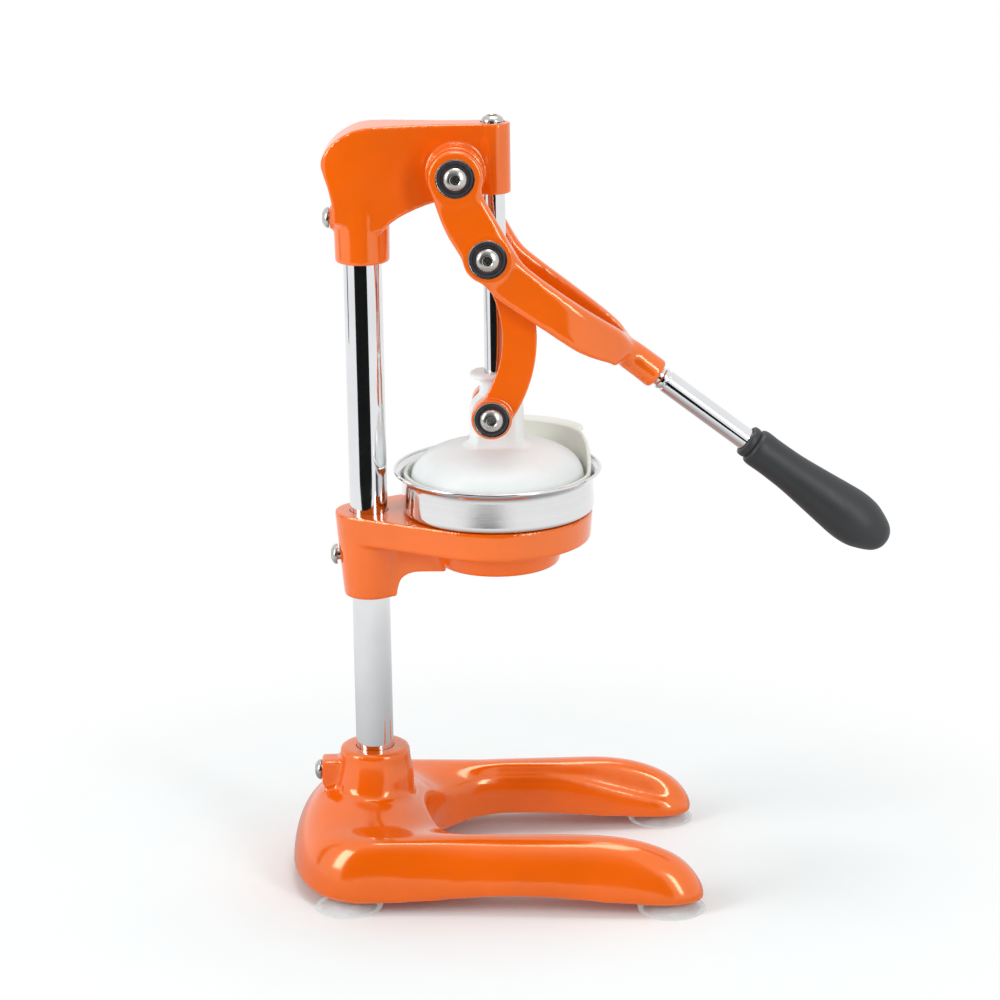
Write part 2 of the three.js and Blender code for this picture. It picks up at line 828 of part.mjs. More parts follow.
function pressCup() {
  const inner = domeLine(cupRadius - cupShell, cupTop - cupShell, innerDomeSteps).reverse();
  const outer = domeLine(cupRadius, cupTop, outerDomeSteps);
  const dome = turned(
    [
      ...inner,
      [cupRadius - cupShell, cupBottom],
      [cupRadius - cupShell / 4, cupBottom],
      [cupRadius, cupBottom + cupShell / 4],
      ...outer,
    ],
    fineSteps,
  );
  const hubFootRadius = hubRadius + hubFlare;
  const neckBottom = cupTop + hubNeckHeight;
  const hub = turned([
    [0, cupTop - cupShell / 2],
    [hubFootRadius, cupTop - cupShell / 2],
    [hubFootRadius, cupTop - fitGap],
    [hubRadius + hubFlare * hubFlareShare, cupTop + hubFlareHeight / 2],
    [hubRadius, cupTop + hubFlareHeight],
    [hubRadius, cupTop + hubShoulderHeight],
    [mix(hubRadius, hubNeckRadius, hubShoulderShare), neckBottom - hubFlangeThickness],
    [hubNeckRadius, neckBottom],
    [hubNeckRadius, hubTop - hubFlangeThickness],
    [hubFlangeRadius, hubTop - hubFlangeThickness],
    [hubFlangeRadius, hubTop],
    [0, hubTop],
  ]);
  const flat = linkInnerY - fitGap;
  const slab = raised(
    [
      [-hubFootRadius, -flat],
      [hubFootRadius, -flat],
      [hubFootRadius, flat],
      [-hubFootRadius, flat],
    ],
    cupTop - cupShell,
    hubTop + cutOverrun,
  );
  const rodBore = cylinder(plungerRadius + fitGap, hubTop - plungerSocketDepth, hubTop + cutOverrun);
  const reach = linkInnerY + cutOverrun;
  return cut(
    moved(joined(dome, hub.intersect(slab)), pressAxisX, 0, 0),
    moved(rodBore, pressAxisX, 0, 0),
    laidAcross(cylinder(crossAxleRadius + fitGap, -reach, reach, smallSteps), lowerPivotX, lowerPivotZ),
  );
}

function crossAxle() {
  const half = linkInnerY - fitGap * 2;
  const bore = cylinder(screwShankRadius + fitGap, -half - cutOverrun, half + cutOverrun, smallSteps);
  const axle = cut(cylinder(crossAxleRadius, -half, half, smallSteps), bore);
  return laidAcross(axle, lowerPivotX, lowerPivotZ);
}

function plungerRod() {
  const bottom = hubTop - plungerSocketDepth + fitGap;
  const boreBottom = headTop - topScrewLength - cutOverrun;
  const bore = cylinder(screwShankRadius + fitGap, boreBottom, headTop + cutOverrun, smallSteps);
  return moved(cut(cylinder(plungerRadius, bottom, headTop), bore), pressAxisX, 0, 0);
}

const socketSides = 6;

// The button's dome as shares of its head radius and its height.
const buttonShares = [[1, 0], [1, 0.2], [0.88, 0.6], [0.66, 0.9], [0.45, 1], [0, 1]];

// A button head screw standing on z = 0 with its shank below and a hex socket in its top.
function buttonScrew(headRadius, length) {
  const body = turned(
    [
      [0, -length],
      [screwShankRadius, -length],
      [screwShankRadius, 0],
      ...spanned(buttonShares, [0, 0], [headRadius, screwHeadHeight]),
    ],
    smallSteps,
  );
  const socket = raised(
    arc(0, 0, screwSocketRadius, 0, 360, socketSides).slice(1),
    screwHeadHeight - screwSocketDepth,
    screwHeadHeight + cutOverrun,
  );
  return body.subtract(socket);
}

// A set screw whose head seats at the given x and whose tip meets the pillar.
function setScrew(seatX, height) {
  const length = -seatX - pillarRadius;
  return laidBack(buttonScrew(setScrewHeadRadius, length).translate([0, 0, -seatX + fitGap]), height);
}

// A pivot screw on the near side (-1) or the far side (1), its head seat and tip at these y.
function pivotScrew(side, x, z, seatY, tipY) {
  const body = buttonScrew(screwHeadRadius, seatY - tipY).translate([0, 0, seatY]);
  const turnedOut = side < 0 ? body.rotate([90, 0, 0]) : body.rotate([-90, 0, 0]);
  return turnedOut.translate([x, 0, z]);
}

function pivotBush(side, x, z, radius, innerY, outerY) {
  const ring = cut(
    cylinder(radius, innerY, outerY, roundSteps),
    cylinder(screwShankRadius + fitGap, innerY - cutOverrun, outerY + cutOverrun, smallSteps),
  );
  const turnedOut = side < 0 ? ring.rotate([90, 0, 0]) : ring.rotate([-90, 0, 0]);
  return turnedOut.translate([x, 0, z]);
}

// The head's side view, as shares from the pillar's axis and the sleeve's foot to the plunger's
// axis and the top.
const headBackShares = [[-0.211, 0.3], [-0.211, 0.42], [-0.243, 0.6]];
const headTopShares = [
  [-0.262, 0.735],
  [-0.144, 0.892],
  [0.008, 0.976],
  [0.16, 1],
  [0.45, 1.005],
  [1.132, 1],
];
const headUnderShares = [[0.85, 0.49], [0.54, 0.435], [0.3, 0.345], [0.147, 0.24]];

// Half of the head's plan, as shares of the reach to the plunger and of the hood's extra width.
const headPlanShares = [
  [-0.215, 0.3],
  [-0.105, 0.82],
  [0.04, 1],
  [0.2, 0.6],
  [0.36, 0.14],
  [0.52, 0],
];
const sleeveTopShares = [[1, 0.42], [0.9, 0.62], [0, 0.66]];

// Mirrors an open outline over the X axis and joins both halves.
function mirroredPlan(half) {
  return [...half, ...half.slice(1, -1).reverse().map(([x, y]) => [x, -y])];
}

function headCasting() {
  const low = headSleeveBottom;
  const endBottom = headTop - headEndHeight;
  const corners = [[0, low], [pressAxisX, headTop]];
  const sideLine = [
    ...spanned(headBackShares, ...corners),
    ...smoothLine(spanned(headTopShares, ...corners), smallSteps),
    [pressAxisX + headEndRadius, endBottom],
    ...smoothLine(spanned(headUnderShares, ...corners), mediumSteps / 2),
  ];
  const plan = mirroredPlan([
    ...smoothLine(
      [
        [-headSleeveRadius - headHoodOverhang, 0],
        ...spanned(headPlanShares, [0, headArmHalfWidth], [pressAxisX, headHoodHalfWidth]),
      ],
      mediumSteps,
    ),
    ...arc(pressAxisX, 0, headEndRadius, 90, 0, smallSteps / 2),
  ]);
  const across = headHoodHalfWidth + cutOverrun;
  const above = headTop + cutOverrun * 2;
  const wholeArm = drawnAcross(sideLine.reverse(), -across, across);
  const arm = wholeArm.intersect(raised(plan.reverse(), low, above));
  const sleeve = turned([
    [0, low],
    [headSleeveRadius - edgeRound / 2, low],
    [headSleeveRadius, low + edgeRound / 2],
    ...spanned(sleeveTopShares, [0, low], [headSleeveRadius + headSleeveFlare, headTop]),
  ]);
  const pivotBoss = cylinder(headPivotBossRadius, -linkOuterY, linkOuterY);
  const screwBoss = cylinder(headScrewBossRadius, pillarRadius, -headScrewBossX, smallSteps);
  const holeY = linkOuterY + cutOverrun;
  const pivotHole = cylinder(screwShankRadius + fitGap, -holeY, holeY, smallSteps);
  return cut(
    joined(
      arm,
      sleeve,
      laidAcross(pivotBoss, upperPivotX, upperPivotZ),
      laidBack(screwBoss, headScrewHeight),
    ),
    cylinder(pillarRadius + fitGap, low - cutOverrun, pillarTop),
    moved(cylinder(plungerRadius + fitGap, endBottom - cutOverrun, above), pressAxisX, 0, 0),
    screwHole(headScrewBossX, headScrewHeight),
    laidAcross(pivotHole, upperPivotX, upperPivotZ),
  );
}

// Place along the handle, from the end of the fork's socket, as [x, z].
function alongHandle(distance, offset) {
  return [
    socketEndX + Math.cos(slope) * distance + Math.sin(slope) * offset,
    socketEndZ - Math.sin(slope) * distance + Math.cos(slope) * offset,
  ];
}

// The fork's side view, as shares from the upper pivot to the nose and the socket's end.
const forkLowerShares = [
  [-0.15, 0.03],
  [-0.07, 0.235],
  [0.026, 0.376],
  [0.127, 0.486],
  [0.236, 0.581],
  [0.456, 0.703],
  [0.676, 0.815],
  [0.897, 0.879],
];
const forkUpperShares = [
  [0.964, 0.752],
  [0.897, 0.727],
  [0.677, 0.615],
  [0.458, 0.476],
  [0.35, 0.39],
  [0.242, 0.229],
  [0.15, 0.085],
  [0.149, 0.036],
];

// The fork's plan, as shares from the waist to the nose or the slot's end, and of the half width.
const forkOuterShares = [[0, 1], [0.28, 0.94], [0.58, 0.74], [0.82, 0.44], [1, 0.3]];
const forkInnerShares = [[0, 1], [0.35, 0.9], [0.72, 0.62], [0.95, 0.26], [1, 0]];
const socketRootShares = [[0.9, -1], [1.05, 0]];

function forkCasting() {
  const noseX = socketEndX - forkNoseDepth;
  const slotEndX = noseX - forkNoseThickness;
  const waistX = pressAxisX + forkWaistReach;
  const corners = [[upperPivotX, upperPivotZ], [noseX, socketEndZ]];
  const side = [
    ...smoothLine(spanned(forkLowerShares, ...corners), mediumSteps),
    alongHandle(-forkSocketLength, -forkSocketRadius),
    alongHandle(-forkSocketLength, forkSocketRadius),
    ...smoothLine(spanned(forkUpperShares, ...corners), mediumSteps),
    ...arc(upperPivotX, upperPivotZ, forkEyeRadius, 0, 180, smallSteps).slice(0, -1),
  ];
  const face = prongFaceY - forkBossHeight;
  const outer = smoothLine(spanned(forkOuterShares, [waistX, 0], [noseX, face]), smallSteps);
  const inner = smoothLine(
    spanned(forkInnerShares, [waistX, 0], [slotEndX, prongInnerY]),
    smallSteps,
  );
  const backX = upperPivotX - forkEyeRadius - cutOverrun;
  const farHalf = [...outer.reverse(), [backX, face], [backX, prongInnerY], ...inner];
  const plan = mirroredPlan([...farHalf.reverse()]);
  const blade = drawnAcross(side, -prongFaceY, prongFaceY).intersect(
    raised(plan, lowerPivotZ, upperPivotZ + forkEyeRadius + cutOverrun),
  );
  const eyes = [
    [upperPivotX, upperPivotZ, forkEyeRadius],
    [middlePivotX, middlePivotZ, bushRadius + forkBossWall],
  ].flatMap(([x, z, radius]) => [
    laidAcross(cylinder(radius, -prongFaceY, -prongInnerY), x, z),
    laidAcross(cylinder(radius, prongInnerY, prongFaceY), x, z),
  ]);
  const root = [0, -forkSocketLength];
  const socket = turned([
    [0, -forkSocketLength - forkSocketRadius],
    ...spanned(socketRootShares, root, [forkSocketRadius, -forkSocketLength + forkSocketRadius]),
    [forkSocketRadius, -edgeRound],
    [forkSocketRadius - edgeRound, 0],
    [0, 0],
  ]);
  const reach = prongFaceY + cutOverrun;
  const bushBore = cylinder(bushRadius + fitGap, -reach, reach);
  const threadEnd = -handleThreadLength - fitGap;
  const threadBore = cylinder(handleThreadRadius + fitGap, threadEnd, cutOverrun, smallSteps);
  return cut(
    joined(blade, ...eyes, laidAlongHandle(socket)),
    laidAcross(bushBore, upperPivotX, upperPivotZ),
    laidAcross(bushBore, middlePivotX, middlePivotZ),
    laidAlongHandle(threadBore),
  );
}

const beadShares = [[1, 0.2], [1, 0.8], [0.9, 1]];
const grooveShares = [[0.9, 0.5], [1, 0.7]];

function handleRod() {
  const neckRadius = handleRodRadius - handleNeckDepth;
  const beadStart = fitGap + handleNeckLength;
  const beadEnd = beadStart + handleBeadLength;
  const rodEnd = handleFreeLength + gripBoreDepth - fitGap;
  return laidAlongHandle(
    turned(
      [
        [0, -handleThreadLength],
        [handleThreadRadius, -handleThreadLength],
        [handleThreadRadius, fitGap],
        [neckRadius, fitGap],
        [neckRadius, beadStart],
        ...spanned(beadShares, [0, beadStart], [handleRodRadius, beadEnd]),
        ...spanned(grooveShares, [0, beadEnd], [handleRodRadius, beadEnd + handleNeckLength]),
        [handleRodRadius, rodEnd],
        [0, rodEnd],
      ],
      mediumSteps,
    ),
  );
}

// The grip's collar and its swelling, as shares of radius and of length.
const gripCollarShares = [[1, 0.2], [1, 0.85], [0.93, 1], [0.95, 1.15]];
const gripSwellShares = [[0, 0.175], [0.1, 0.315], [0.42, 0.464], [0.8, 0.61], [1, 0.72]];
const gripEndShares = [[0.97, 0.8], [0.84, 0.875], [0.6, 0.945], [0.32, 0.985], [0, 1]];

function handleGrip() {
  const bore = handleRodRadius + fitGap;
  const collarRadius = handleRodRadius + gripCollarWall;
  const waistRadius = handleRodRadius + gripWaistWall;
  const gripRadius = waistRadius + gripSwell;
  const profile = [
    [bore, 0],
    [collarRadius - edgeRound, 0],
    ...spanned(gripCollarShares, [0, 0], [collarRadius, gripCollarLength]),
    [waistRadius, gripCollarLength + edgeRound * 2],
    ...spanned(gripSwellShares, [waistRadius, 0], [gripRadius, gripLength]),
    ...spanned(gripEndShares, [0, 0], [gripRadius, gripLength]),
    [0, gripBoreDepth],
    [bore, gripBoreDepth],
  ];
  return laidAlongHandle(turned(profile, mediumSteps).translate([0, 0, handleFreeLength]));
}

// A link's face outline: a band of one width bowed forward between the two pivots.
function linkOutline() {
  const dx = middlePivotX - lowerPivotX;
  const dz = middlePivotZ - lowerPivotZ;
  const chord = Math.hypot(dx, dz);
  const radius = (chord * chord) / (8 * linkBow) + linkBow / 2;
  const middleX = (middlePivotX + lowerPivotX) / 2;
  const middleZ = (middlePivotZ + lowerPivotZ) / 2;
  const centreX = middleX - (dz / chord) * (radius - linkBow);
  const centreZ = middleZ + (dx / chord) * (radius - linkBow);
  const half = THREE.MathUtils.radToDeg(Math.asin(chord / 2 / radius));
  const tilt = THREE.MathUtils.radToDeg(Math.atan2(-dx, dz));
  return [
    ...arc(centreX, centreZ, radius + linkHalfWidth, tilt - half, tilt + half, mediumSteps),
    ...arc(centreX, centreZ, radius - linkHalfWidth, tilt + half, tilt - half, smallSteps),
  ];
}

function link(side) {
  const low = linkInnerY;
  const high = linkOuterY;
  const between = (a, b) => (side < 0 ? [-b, -a] : [a, b]);
  const band = drawnAcross(linkOutline(), ...between(low, high));
  const topEye = cylinder(linkTopEyeRadius, ...between(low, high));
  const boss = cylinder(lowerBushRadius + linkBossWall, ...between(low, high + linkBossHeight));
  const reach = high + linkBossHeight + cutOverrun;
  const screwBore = cylinder(screwShankRadius + fitGap, -reach, reach, smallSteps);
  const bushBore = cylinder(lowerBushRadius + fitGap, -reach, reach);
  return cut(
    joined(
      band,
      laidAcross(topEye, middlePivotX, middlePivotZ),
      laidAcross(boss, lowerPivotX, lowerPivotZ),
    ),
    laidAcross(screwBore, middlePivotX, middlePivotZ),
    laidAcross(bushBore, lowerPivotX, lowerPivotZ),
  );
}

function pillar() {
  const low = baseSocketFloor + fitGap;
  const high = pillarTop - fitGap;
  return cut(
    cylinder(pillarRadius, low, high),
    cylinder(pillarRadius - pillarWall, low - cutOverrun, high + cutOverrun),
  );
}

const finishes = {
  orange: { color: 0xf0640a, roughness: 0.22, metalness: 0.15 },
  chrome: { color: 0xdfe2e4, roughness: 0.06, metalness: 1 },
  steel: { color: 0xc4c6c8, roughness: 0.3, metalness: 1 },
  screw: { color: 0xd2cfc4, roughness: 0.16, metalness: 1 },
  ivory: { color: 0xe9e8dc, roughness: 0.42, metalness: 0 },
  white: { color: 0xf2f4f3, roughness: 0.38, metalness: 0 },
  bush: { color: 0x2b2a2c, roughness: 0.5, metalness: 0 },
  grip: { color: 0x2e3133, roughness: 0.55, metalness: 0 },
  foot: { color: 0xe4e6e8, roughness: 0.3, metalness: 0 },
};

const press = new THREE.Group();

function addPiece(name, body, finish, parent = press) {
  const mesh = new THREE.Mesh(geometryOf(body), new THREE.MeshStandardMaterial(finishes[finish]));
  mesh.name = name;
  parent.add(mesh);
  return mesh;
}

addPiece("base_casting", baseCasting(), "orange");
for (const [place, [x, y]] of Object.entries(footPlaces)) {
  addPiece("suction_foot_" + place, suctionFoot(), "foot").position.set(x, y, 0);
}
addPiece("pillar_tube", pillar(), "chrome");
addPiece("base_set_screw", setScrew(baseLugX, baseScrewHeight), "screw");
addPiece("bowl_bracket", bowlBracket(), "orange");
addPiece(
  "bracket_set_screw",
  setScrew(-bracketNoseRadius + bracketDraft, bracketTop - bracketScrewDepth),
  "screw",
);
addPiece("head_casting", headCasting(), "orange");
addPiece("head_set_screw", setScrew(headScrewBossX, headScrewHeight), "screw");
addPiece("juice_bowl", juiceBowl(), "steel");
addPiece("strainer_reamer", strainer(), "ivory");
addPiece("press_cup", pressCup(), "white");
addPiece("cross_axle", crossAxle(), "screw");
addPiece("plunger_rod", plungerRod(), "chrome");
addPiece(
  "plunger_top_screw",
  buttonScrew(topScrewHeadRadius, topScrewLength).translate([pressAxisX, 0, headTop + fitGap]),
  "screw",
);
addPiece("fork_casting", forkCasting(), "orange");
addPiece("handle_rod", handleRod(), "chrome");
addPiece("handle_grip", handleGrip(), "grip");

const lowerSeatY = linkOuterY + linkBossHeight;
for (const [word, side] of [["near", -1], ["far", 1]]) {
  addPiece("link_" + word, link(side), "orange");
  addPiece(
    "upper_pivot_bush_" + word,
    pivotBush(side, upperPivotX, upperPivotZ, bushRadius, prongInnerY, prongFaceY),
    "bush",
  );
  addPiece(
    "upper_pivot_screw_" + word,
    pivotScrew(side, upperPivotX, upperPivotZ, prongFaceY + fitGap, prongInnerY - linkThickness),
    "screw",
  );
  addPiece(
    "middle_pivot_bush_" + word,
    pivotBush(side, middlePivotX, middlePivotZ, bushRadius, prongInnerY, prongFaceY),
    "bush",
  );
  addPiece(
    "middle_pivot_screw_" + word,
    pivotScrew(side, middlePivotX, middlePivotZ, prongFaceY + fitGap, prongInnerY),
    "screw",
  );
  addPiece(
    "lower_pivot_bush_" + word,
    pivotBush(side, lowerPivotX, lowerPivotZ, lowerBushRadius, linkInnerY, lowerSeatY),
    "bush",
  );
  addPiece(
    "lower_pivot_screw_" + word,
    pivotScrew(side, lowerPivotX, lowerPivotZ, lowerSeatY + fitGap, linkInnerY - linkThickness),
    "screw",
  );
}

// The frame's origin is under the middle of the whole press, on the table.
const extent = new THREE.Box3().setFromObject(press);
const middle = extent.getCenter(new THREE.Vector3());
press.position.set(-middle.x, -middle.y, -extent.min.z);

const juicePress = new THREE.Group();
juicePress.add(press);

export default juicePress;
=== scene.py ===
import json
import math

import bpy
from mathutils import Matrix, Vector

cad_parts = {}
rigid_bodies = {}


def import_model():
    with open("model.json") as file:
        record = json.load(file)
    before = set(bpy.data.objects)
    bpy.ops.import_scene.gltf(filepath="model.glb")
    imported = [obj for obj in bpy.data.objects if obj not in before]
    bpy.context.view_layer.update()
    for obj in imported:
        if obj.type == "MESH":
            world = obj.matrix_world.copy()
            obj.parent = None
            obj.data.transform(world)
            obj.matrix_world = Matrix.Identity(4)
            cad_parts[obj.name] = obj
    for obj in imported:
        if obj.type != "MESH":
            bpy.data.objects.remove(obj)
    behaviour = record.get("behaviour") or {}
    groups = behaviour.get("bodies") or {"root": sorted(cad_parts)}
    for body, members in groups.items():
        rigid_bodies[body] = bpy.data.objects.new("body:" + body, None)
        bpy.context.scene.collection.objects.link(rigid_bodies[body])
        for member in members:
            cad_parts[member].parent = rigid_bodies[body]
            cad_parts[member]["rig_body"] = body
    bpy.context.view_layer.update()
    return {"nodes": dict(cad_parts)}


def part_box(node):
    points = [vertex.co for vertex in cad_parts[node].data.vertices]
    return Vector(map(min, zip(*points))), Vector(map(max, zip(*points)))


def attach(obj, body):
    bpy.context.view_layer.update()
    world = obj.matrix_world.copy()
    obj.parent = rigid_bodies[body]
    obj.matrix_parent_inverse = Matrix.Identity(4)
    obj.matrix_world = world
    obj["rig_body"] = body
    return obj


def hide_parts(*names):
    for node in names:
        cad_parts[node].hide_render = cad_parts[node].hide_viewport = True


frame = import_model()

bl_info = {
    "name": "Lever citrus press",
    "version": (1, 0, 0),
    "blender": (4, 5, 0),
    "location": "3D View > Sidebar > Citrus press",
    "description": "Dresses the solids of a lever citrus press, piece by piece, and sets its stage",
    "category": "Object",
}

MM = 0.001
TURN = 2 * math.pi


def middle_of(node):
    low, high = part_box(node)
    return (low + high) / 2


PILLAR_X = middle_of("pillar_tube").x
PRESS_X = (middle_of("plunger_rod").x - PILLAR_X) / MM
HANDLE_SLOPE = math.radians(37.5)


def spot(x, y, z):
    """A place in metres, from millimetres measured from the pillar's axis and the table."""
    return Vector((PILLAR_X + x * MM, y * MM, z * MM))


def pivot_of(node):
    """Side-on place of a round node that lies across the press, in millimetres."""
    middle = middle_of(node)
    return (middle.x - PILLAR_X) / MM, middle.z / MM


UPPER = pivot_of("upper_pivot_bush_near")
MIDDLE = pivot_of("middle_pivot_bush_near")
LOWER = pivot_of("lower_pivot_bush_near")
SOCKET_END = (UPPER[0] + 100.3, UPPER[1] - 106.8)

# Radii of the bores, and how far the faces lie from the middle plane, in millimetres
PILLAR_BORE, ROD_BORE, SCREW_BORE, BUSH_BORE = 10.05, 6.15, 3.3, 9.8
LINK_IN, LINK_OUT, LOWER_FACE = 10.2, 18.2, 20.7
PRONG_IN, PRONG_OUT = 18.5, 28.0
PILLAR_RADIUS, SEAT_GAP = 9.75, 0.3


# Outlines

def mix(a, b, share):
    return a + (b - a) * share


def eased(share):
    t = min(1.0, max(0.0, share))
    return t * t * (3 - 2 * t)


def fall(share, roundness):
    """Quarter of a superellipse: 1 at share 0, down to 0 at share 1."""
    return max(0.0, 1 - share**roundness) ** (1 / roundness)


def spanned(shares, low, high):
    return [(mix(low[0], high[0], a), mix(low[1], high[1], b)) for a, b in shares]


def smooth_line(points, steps):
    """Points along one smooth line that passes through the given ones."""
    last = len(points) - 1
    line = []
    for i in range(steps + 1):
        place = last * i / steps
        k = min(int(place), last - 1)
        w = place - k
        before, start, end, after = (
            points[max(k - 1, 0)], points[k], points[k + 1], points[min(k + 2, last)]
        )
        spot_here = []
        for a, b, c, d in zip(before, start, end, after):
            leave, arrive = (c - a) / 2, (d - b) / 2
            spot_here.append(
                (2 * b - 2 * c + leave + arrive) * w**3
                + (3 * c - 3 * b - 2 * leave - arrive) * w**2
                + leave * w
                + b
            )
        line.append(tuple(spot_here))
    return line


def arc(x, y, radius, start, end, steps):
    """Points round a centre, from one angle to another in degrees."""
    angles = [math.radians(mix(start, end, i / steps)) for i in range(steps + 1)]
    return [(x + radius * math.cos(a), y + radius * math.sin(a)) for a in angles]


def rounded(points, radius, steps=4):
    """A closed outline with each corner turned into a short curve. Radius may be one per corner."""
    radii = radius if isinstance(radius, (list, tuple)) else [radius] * len(points)
    line = []
    for i, corner in enumerate(points):
        before, after = points[i - 1], points[(i + 1) % len(points)]
        ends = []
        for other in (before, after):
            reach = math.dist(corner, other)
            share = min(radii[i], reach * 0.45) / reach if reach else 0
            ends.append((mix(corner[0], other[0], share), mix(corner[1], other[1], share)))
        if not radii[i]:
            line.append(corner)
            continue
        for j in range(steps + 1):
            w = j / steps
            line.append(tuple(
                (1 - w) ** 2 * a + 2 * w * (1 - w) * c + w * w * b
                for a, c, b in zip(ends[0], corner, ends[1])
            ))
    return line


def mirrored(half):
    return half + [(x, -y) for x, y in reversed(half[1:-1])]


# Modelling by hand: a primitive, shaped in edit mode, finished with modifiers

def pick(obj):
    if bpy.context.object and bpy.context.object.mode != "OBJECT":
        bpy.ops.object.mode_set(mode="OBJECT")
    bpy.ops.object.select_all(action="DESELECT")
    obj.select_set(True)
    bpy.context.view_layer.objects.active = obj


def edit(obj):
    pick(obj)
    bpy.ops.object.mode_set(mode="EDIT")
    bpy.ops.mesh.select_all(action="SELECT")


def done():
    bpy.ops.object.mode_set(mode="OBJECT")
    return bpy.context.object


def ring(name, points):
    """A circle primitive whose vertices stand at the given places."""
    bpy.ops.object.select_all(action="DESELECT")
    bpy.ops.mesh.primitive_circle_add(vertices=len(points), radius=MM, fill_type="NOTHING")
    obj = bpy.context.object
    obj.name = name
    for vertex, place in zip(obj.data.vertices, points):
        vertex.co = place
    return obj


def close_up(threshold=1e-7):
    bpy.ops.mesh.select_all(action="SELECT")
    bpy.ops.mesh.remove_doubles(threshold=threshold)
    bpy.ops.mesh.delete_loose()
    bpy.ops.mesh.select_all(action="SELECT")
    bpy.ops.mesh.normals_make_consistent(inside=False)


def spun(name, section, steps=96):
    """A closed section of (radius, height) in millimetres, spun about the origin's upright."""
    obj = ring(name, [(r * MM, 0, z * MM) for r, z in section])
    edit(obj)
    bpy.ops.mesh.spin(steps=steps, angle=TURN, center=(0, 0, 0), axis=(0, 0, 1))
    close_up()
    return done()


def plan_plate(name, outline, low, high):
    """A flat outline of (x, y) raised from low to high."""
    obj = ring(name, [(x * MM, y * MM, low * MM) for x, y in outline])
    edit(obj)
    bpy.ops.mesh.edge_face_add()
    bpy.ops.mesh.extrude_region_move(TRANSFORM_OT_translate={"value": (0, 0, (high - low) * MM)})
    close_up()
    return done()


def side_plate(name, outline, near, far):
    """A side outline of (x, z) drawn across the press from near to far."""
    obj = ring(name, [(x * MM, near * MM, z * MM) for x, z in outline])
    edit(obj)
    bpy.ops.mesh.edge_face_add()
    bpy.ops.mesh.extrude_region_move(TRANSFORM_OT_translate={"value": (0, (far - near) * MM, 0)})
    close_up()
    return done()


def skin(name, rows, ring_of_rows=False):
    """A grid primitive laid over rows of points, each row closed, with its two ends filled."""
    rows = [list(row) + [row[0]] for row in rows]
    if ring_of_rows:
        rows.append(rows[0])
    bpy.ops.object.select_all(action="DESELECT")
    bpy.ops.mesh.primitive_grid_add(
        x_subdivisions=len(rows[0]) - 1, y_subdivisions=len(rows) - 1, size=MM
    )
    obj = bpy.context.object
    obj.name = name
    places = [place for row in rows for place in row]
    if len(places) != len(obj.data.vertices):
        raise RuntimeError(f"{name}: grid has {len(obj.data.vertices)} points, not {len(places)}")
    for vertex, (x, y, z) in zip(obj.data.vertices, places):
        vertex.co = (x * MM, y * MM, z * MM)
    edit(obj)
    bpy.ops.mesh.remove_doubles(threshold=1e-7)
    bpy.ops.mesh.select_all(action="DESELECT")
    bpy.ops.mesh.select_non_manifold()
    bpy.ops.mesh.fill_holes(sides=0)
    close_up()
    return done()


def turned_to(obj, turn, place):
    """Turns a piece made about the origin, sets it at its place in metres and applies both."""
    pick(obj)
    obj.matrix_world = Matrix.Translation(place) @ turn
    bpy.ops.object.transform_apply(location=True, rotation=True, scale=True)
    return obj


UPRIGHT = Matrix.Identity(4)
NEARWARD = Matrix.Rotation(math.pi / 2, 4, "X")
FARWARD = Matrix.Rotation(-math.pi / 2, 4, "X")
BACKWARD = Matrix.Rotation(-math.pi / 2, 4, "Y")
ALONG_HANDLE = Matrix.Rotation(math.pi / 2 + HANDLE_SLOPE, 4, "Y")


def modified(obj, kind, **values):
    """Adds a modifier, sets it and applies it."""
    pick(obj)
    modifier = obj.modifiers.new(kind.title(), kind)
    for key, value in values.items():
        setattr(modifier, key, value)
    bpy.ops.object.modifier_apply(modifier=modifier.name)
    return obj


def combined(obj, how, *others):
    """Cuts or crosses a piece with others, which are used up."""
    for other in others:
        modified(obj, "BOOLEAN", operation=how, object=other, solver="MANIFOLD")
        mesh = other.data
        bpy.data.objects.remove(other)
        bpy.data.meshes.remove(mesh)
    return obj


def gathered(obj, *others):
    """Puts overlapping closed shapes into one mesh, for a casting's skin to run over."""
    pick(obj)
    for other in others:
        other.select_set(True)
    bpy.ops.object.join()
    return obj


def weighted(obj, weight_at):
    """A vertex group whose weights come from each vertex's place in millimetres."""
    group = obj.vertex_groups.new(name="softness")
    for vertex in obj.data.vertices:
        x, y, z = vertex.co / MM
        group.add([vertex.index], weight_at(x - PILLAR_X / MM, y, z), "REPLACE")
    return group.name


def cast(obj, grain, rounds, weight_at=None):
    """Gives gathered shapes the even skin and rounded edges of a casting."""
    modified(obj, "REMESH", mode="VOXEL", voxel_size=grain * MM)
    values = {"factor": 0.5, "iterations": rounds}
    if weight_at:
        values["vertex_group"] = weighted(obj, weight_at)
    modified(obj, "SMOOTH", **values)
    obj.vertex_groups.clear()
    return obj


def soft_shaded(obj, degrees=35):
    pick(obj)
    bpy.ops.object.shade_smooth_by_angle(angle=math.radians(degrees))
    return obj


def copied(obj, name, turn=UPRIGHT, place=(0, 0, 0)):
    """A copy with its own mesh, turned and set in place."""
    twin = obj.copy()
    twin.data = obj.data.copy()
    twin.name = name
    bpy.context.scene.collection.objects.link(twin)
    return turned_to(twin, turn, Vector(place))


def finished(obj, name, material):
    obj.name = obj.data.name = name
    obj.data.materials.clear()
    obj.data.materials.append(material)


def dressed(obj, node, material):
    """Puts the finish on a piece, lets it ride where its node rides and stand for that node."""
    finished(obj, node + "_piece", material)
    body = frame["nodes"][node]["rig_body"]
    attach(obj, body)
    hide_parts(node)
    return obj


# Horseshoe base: cuts across it from the near nose round the back to the far nose

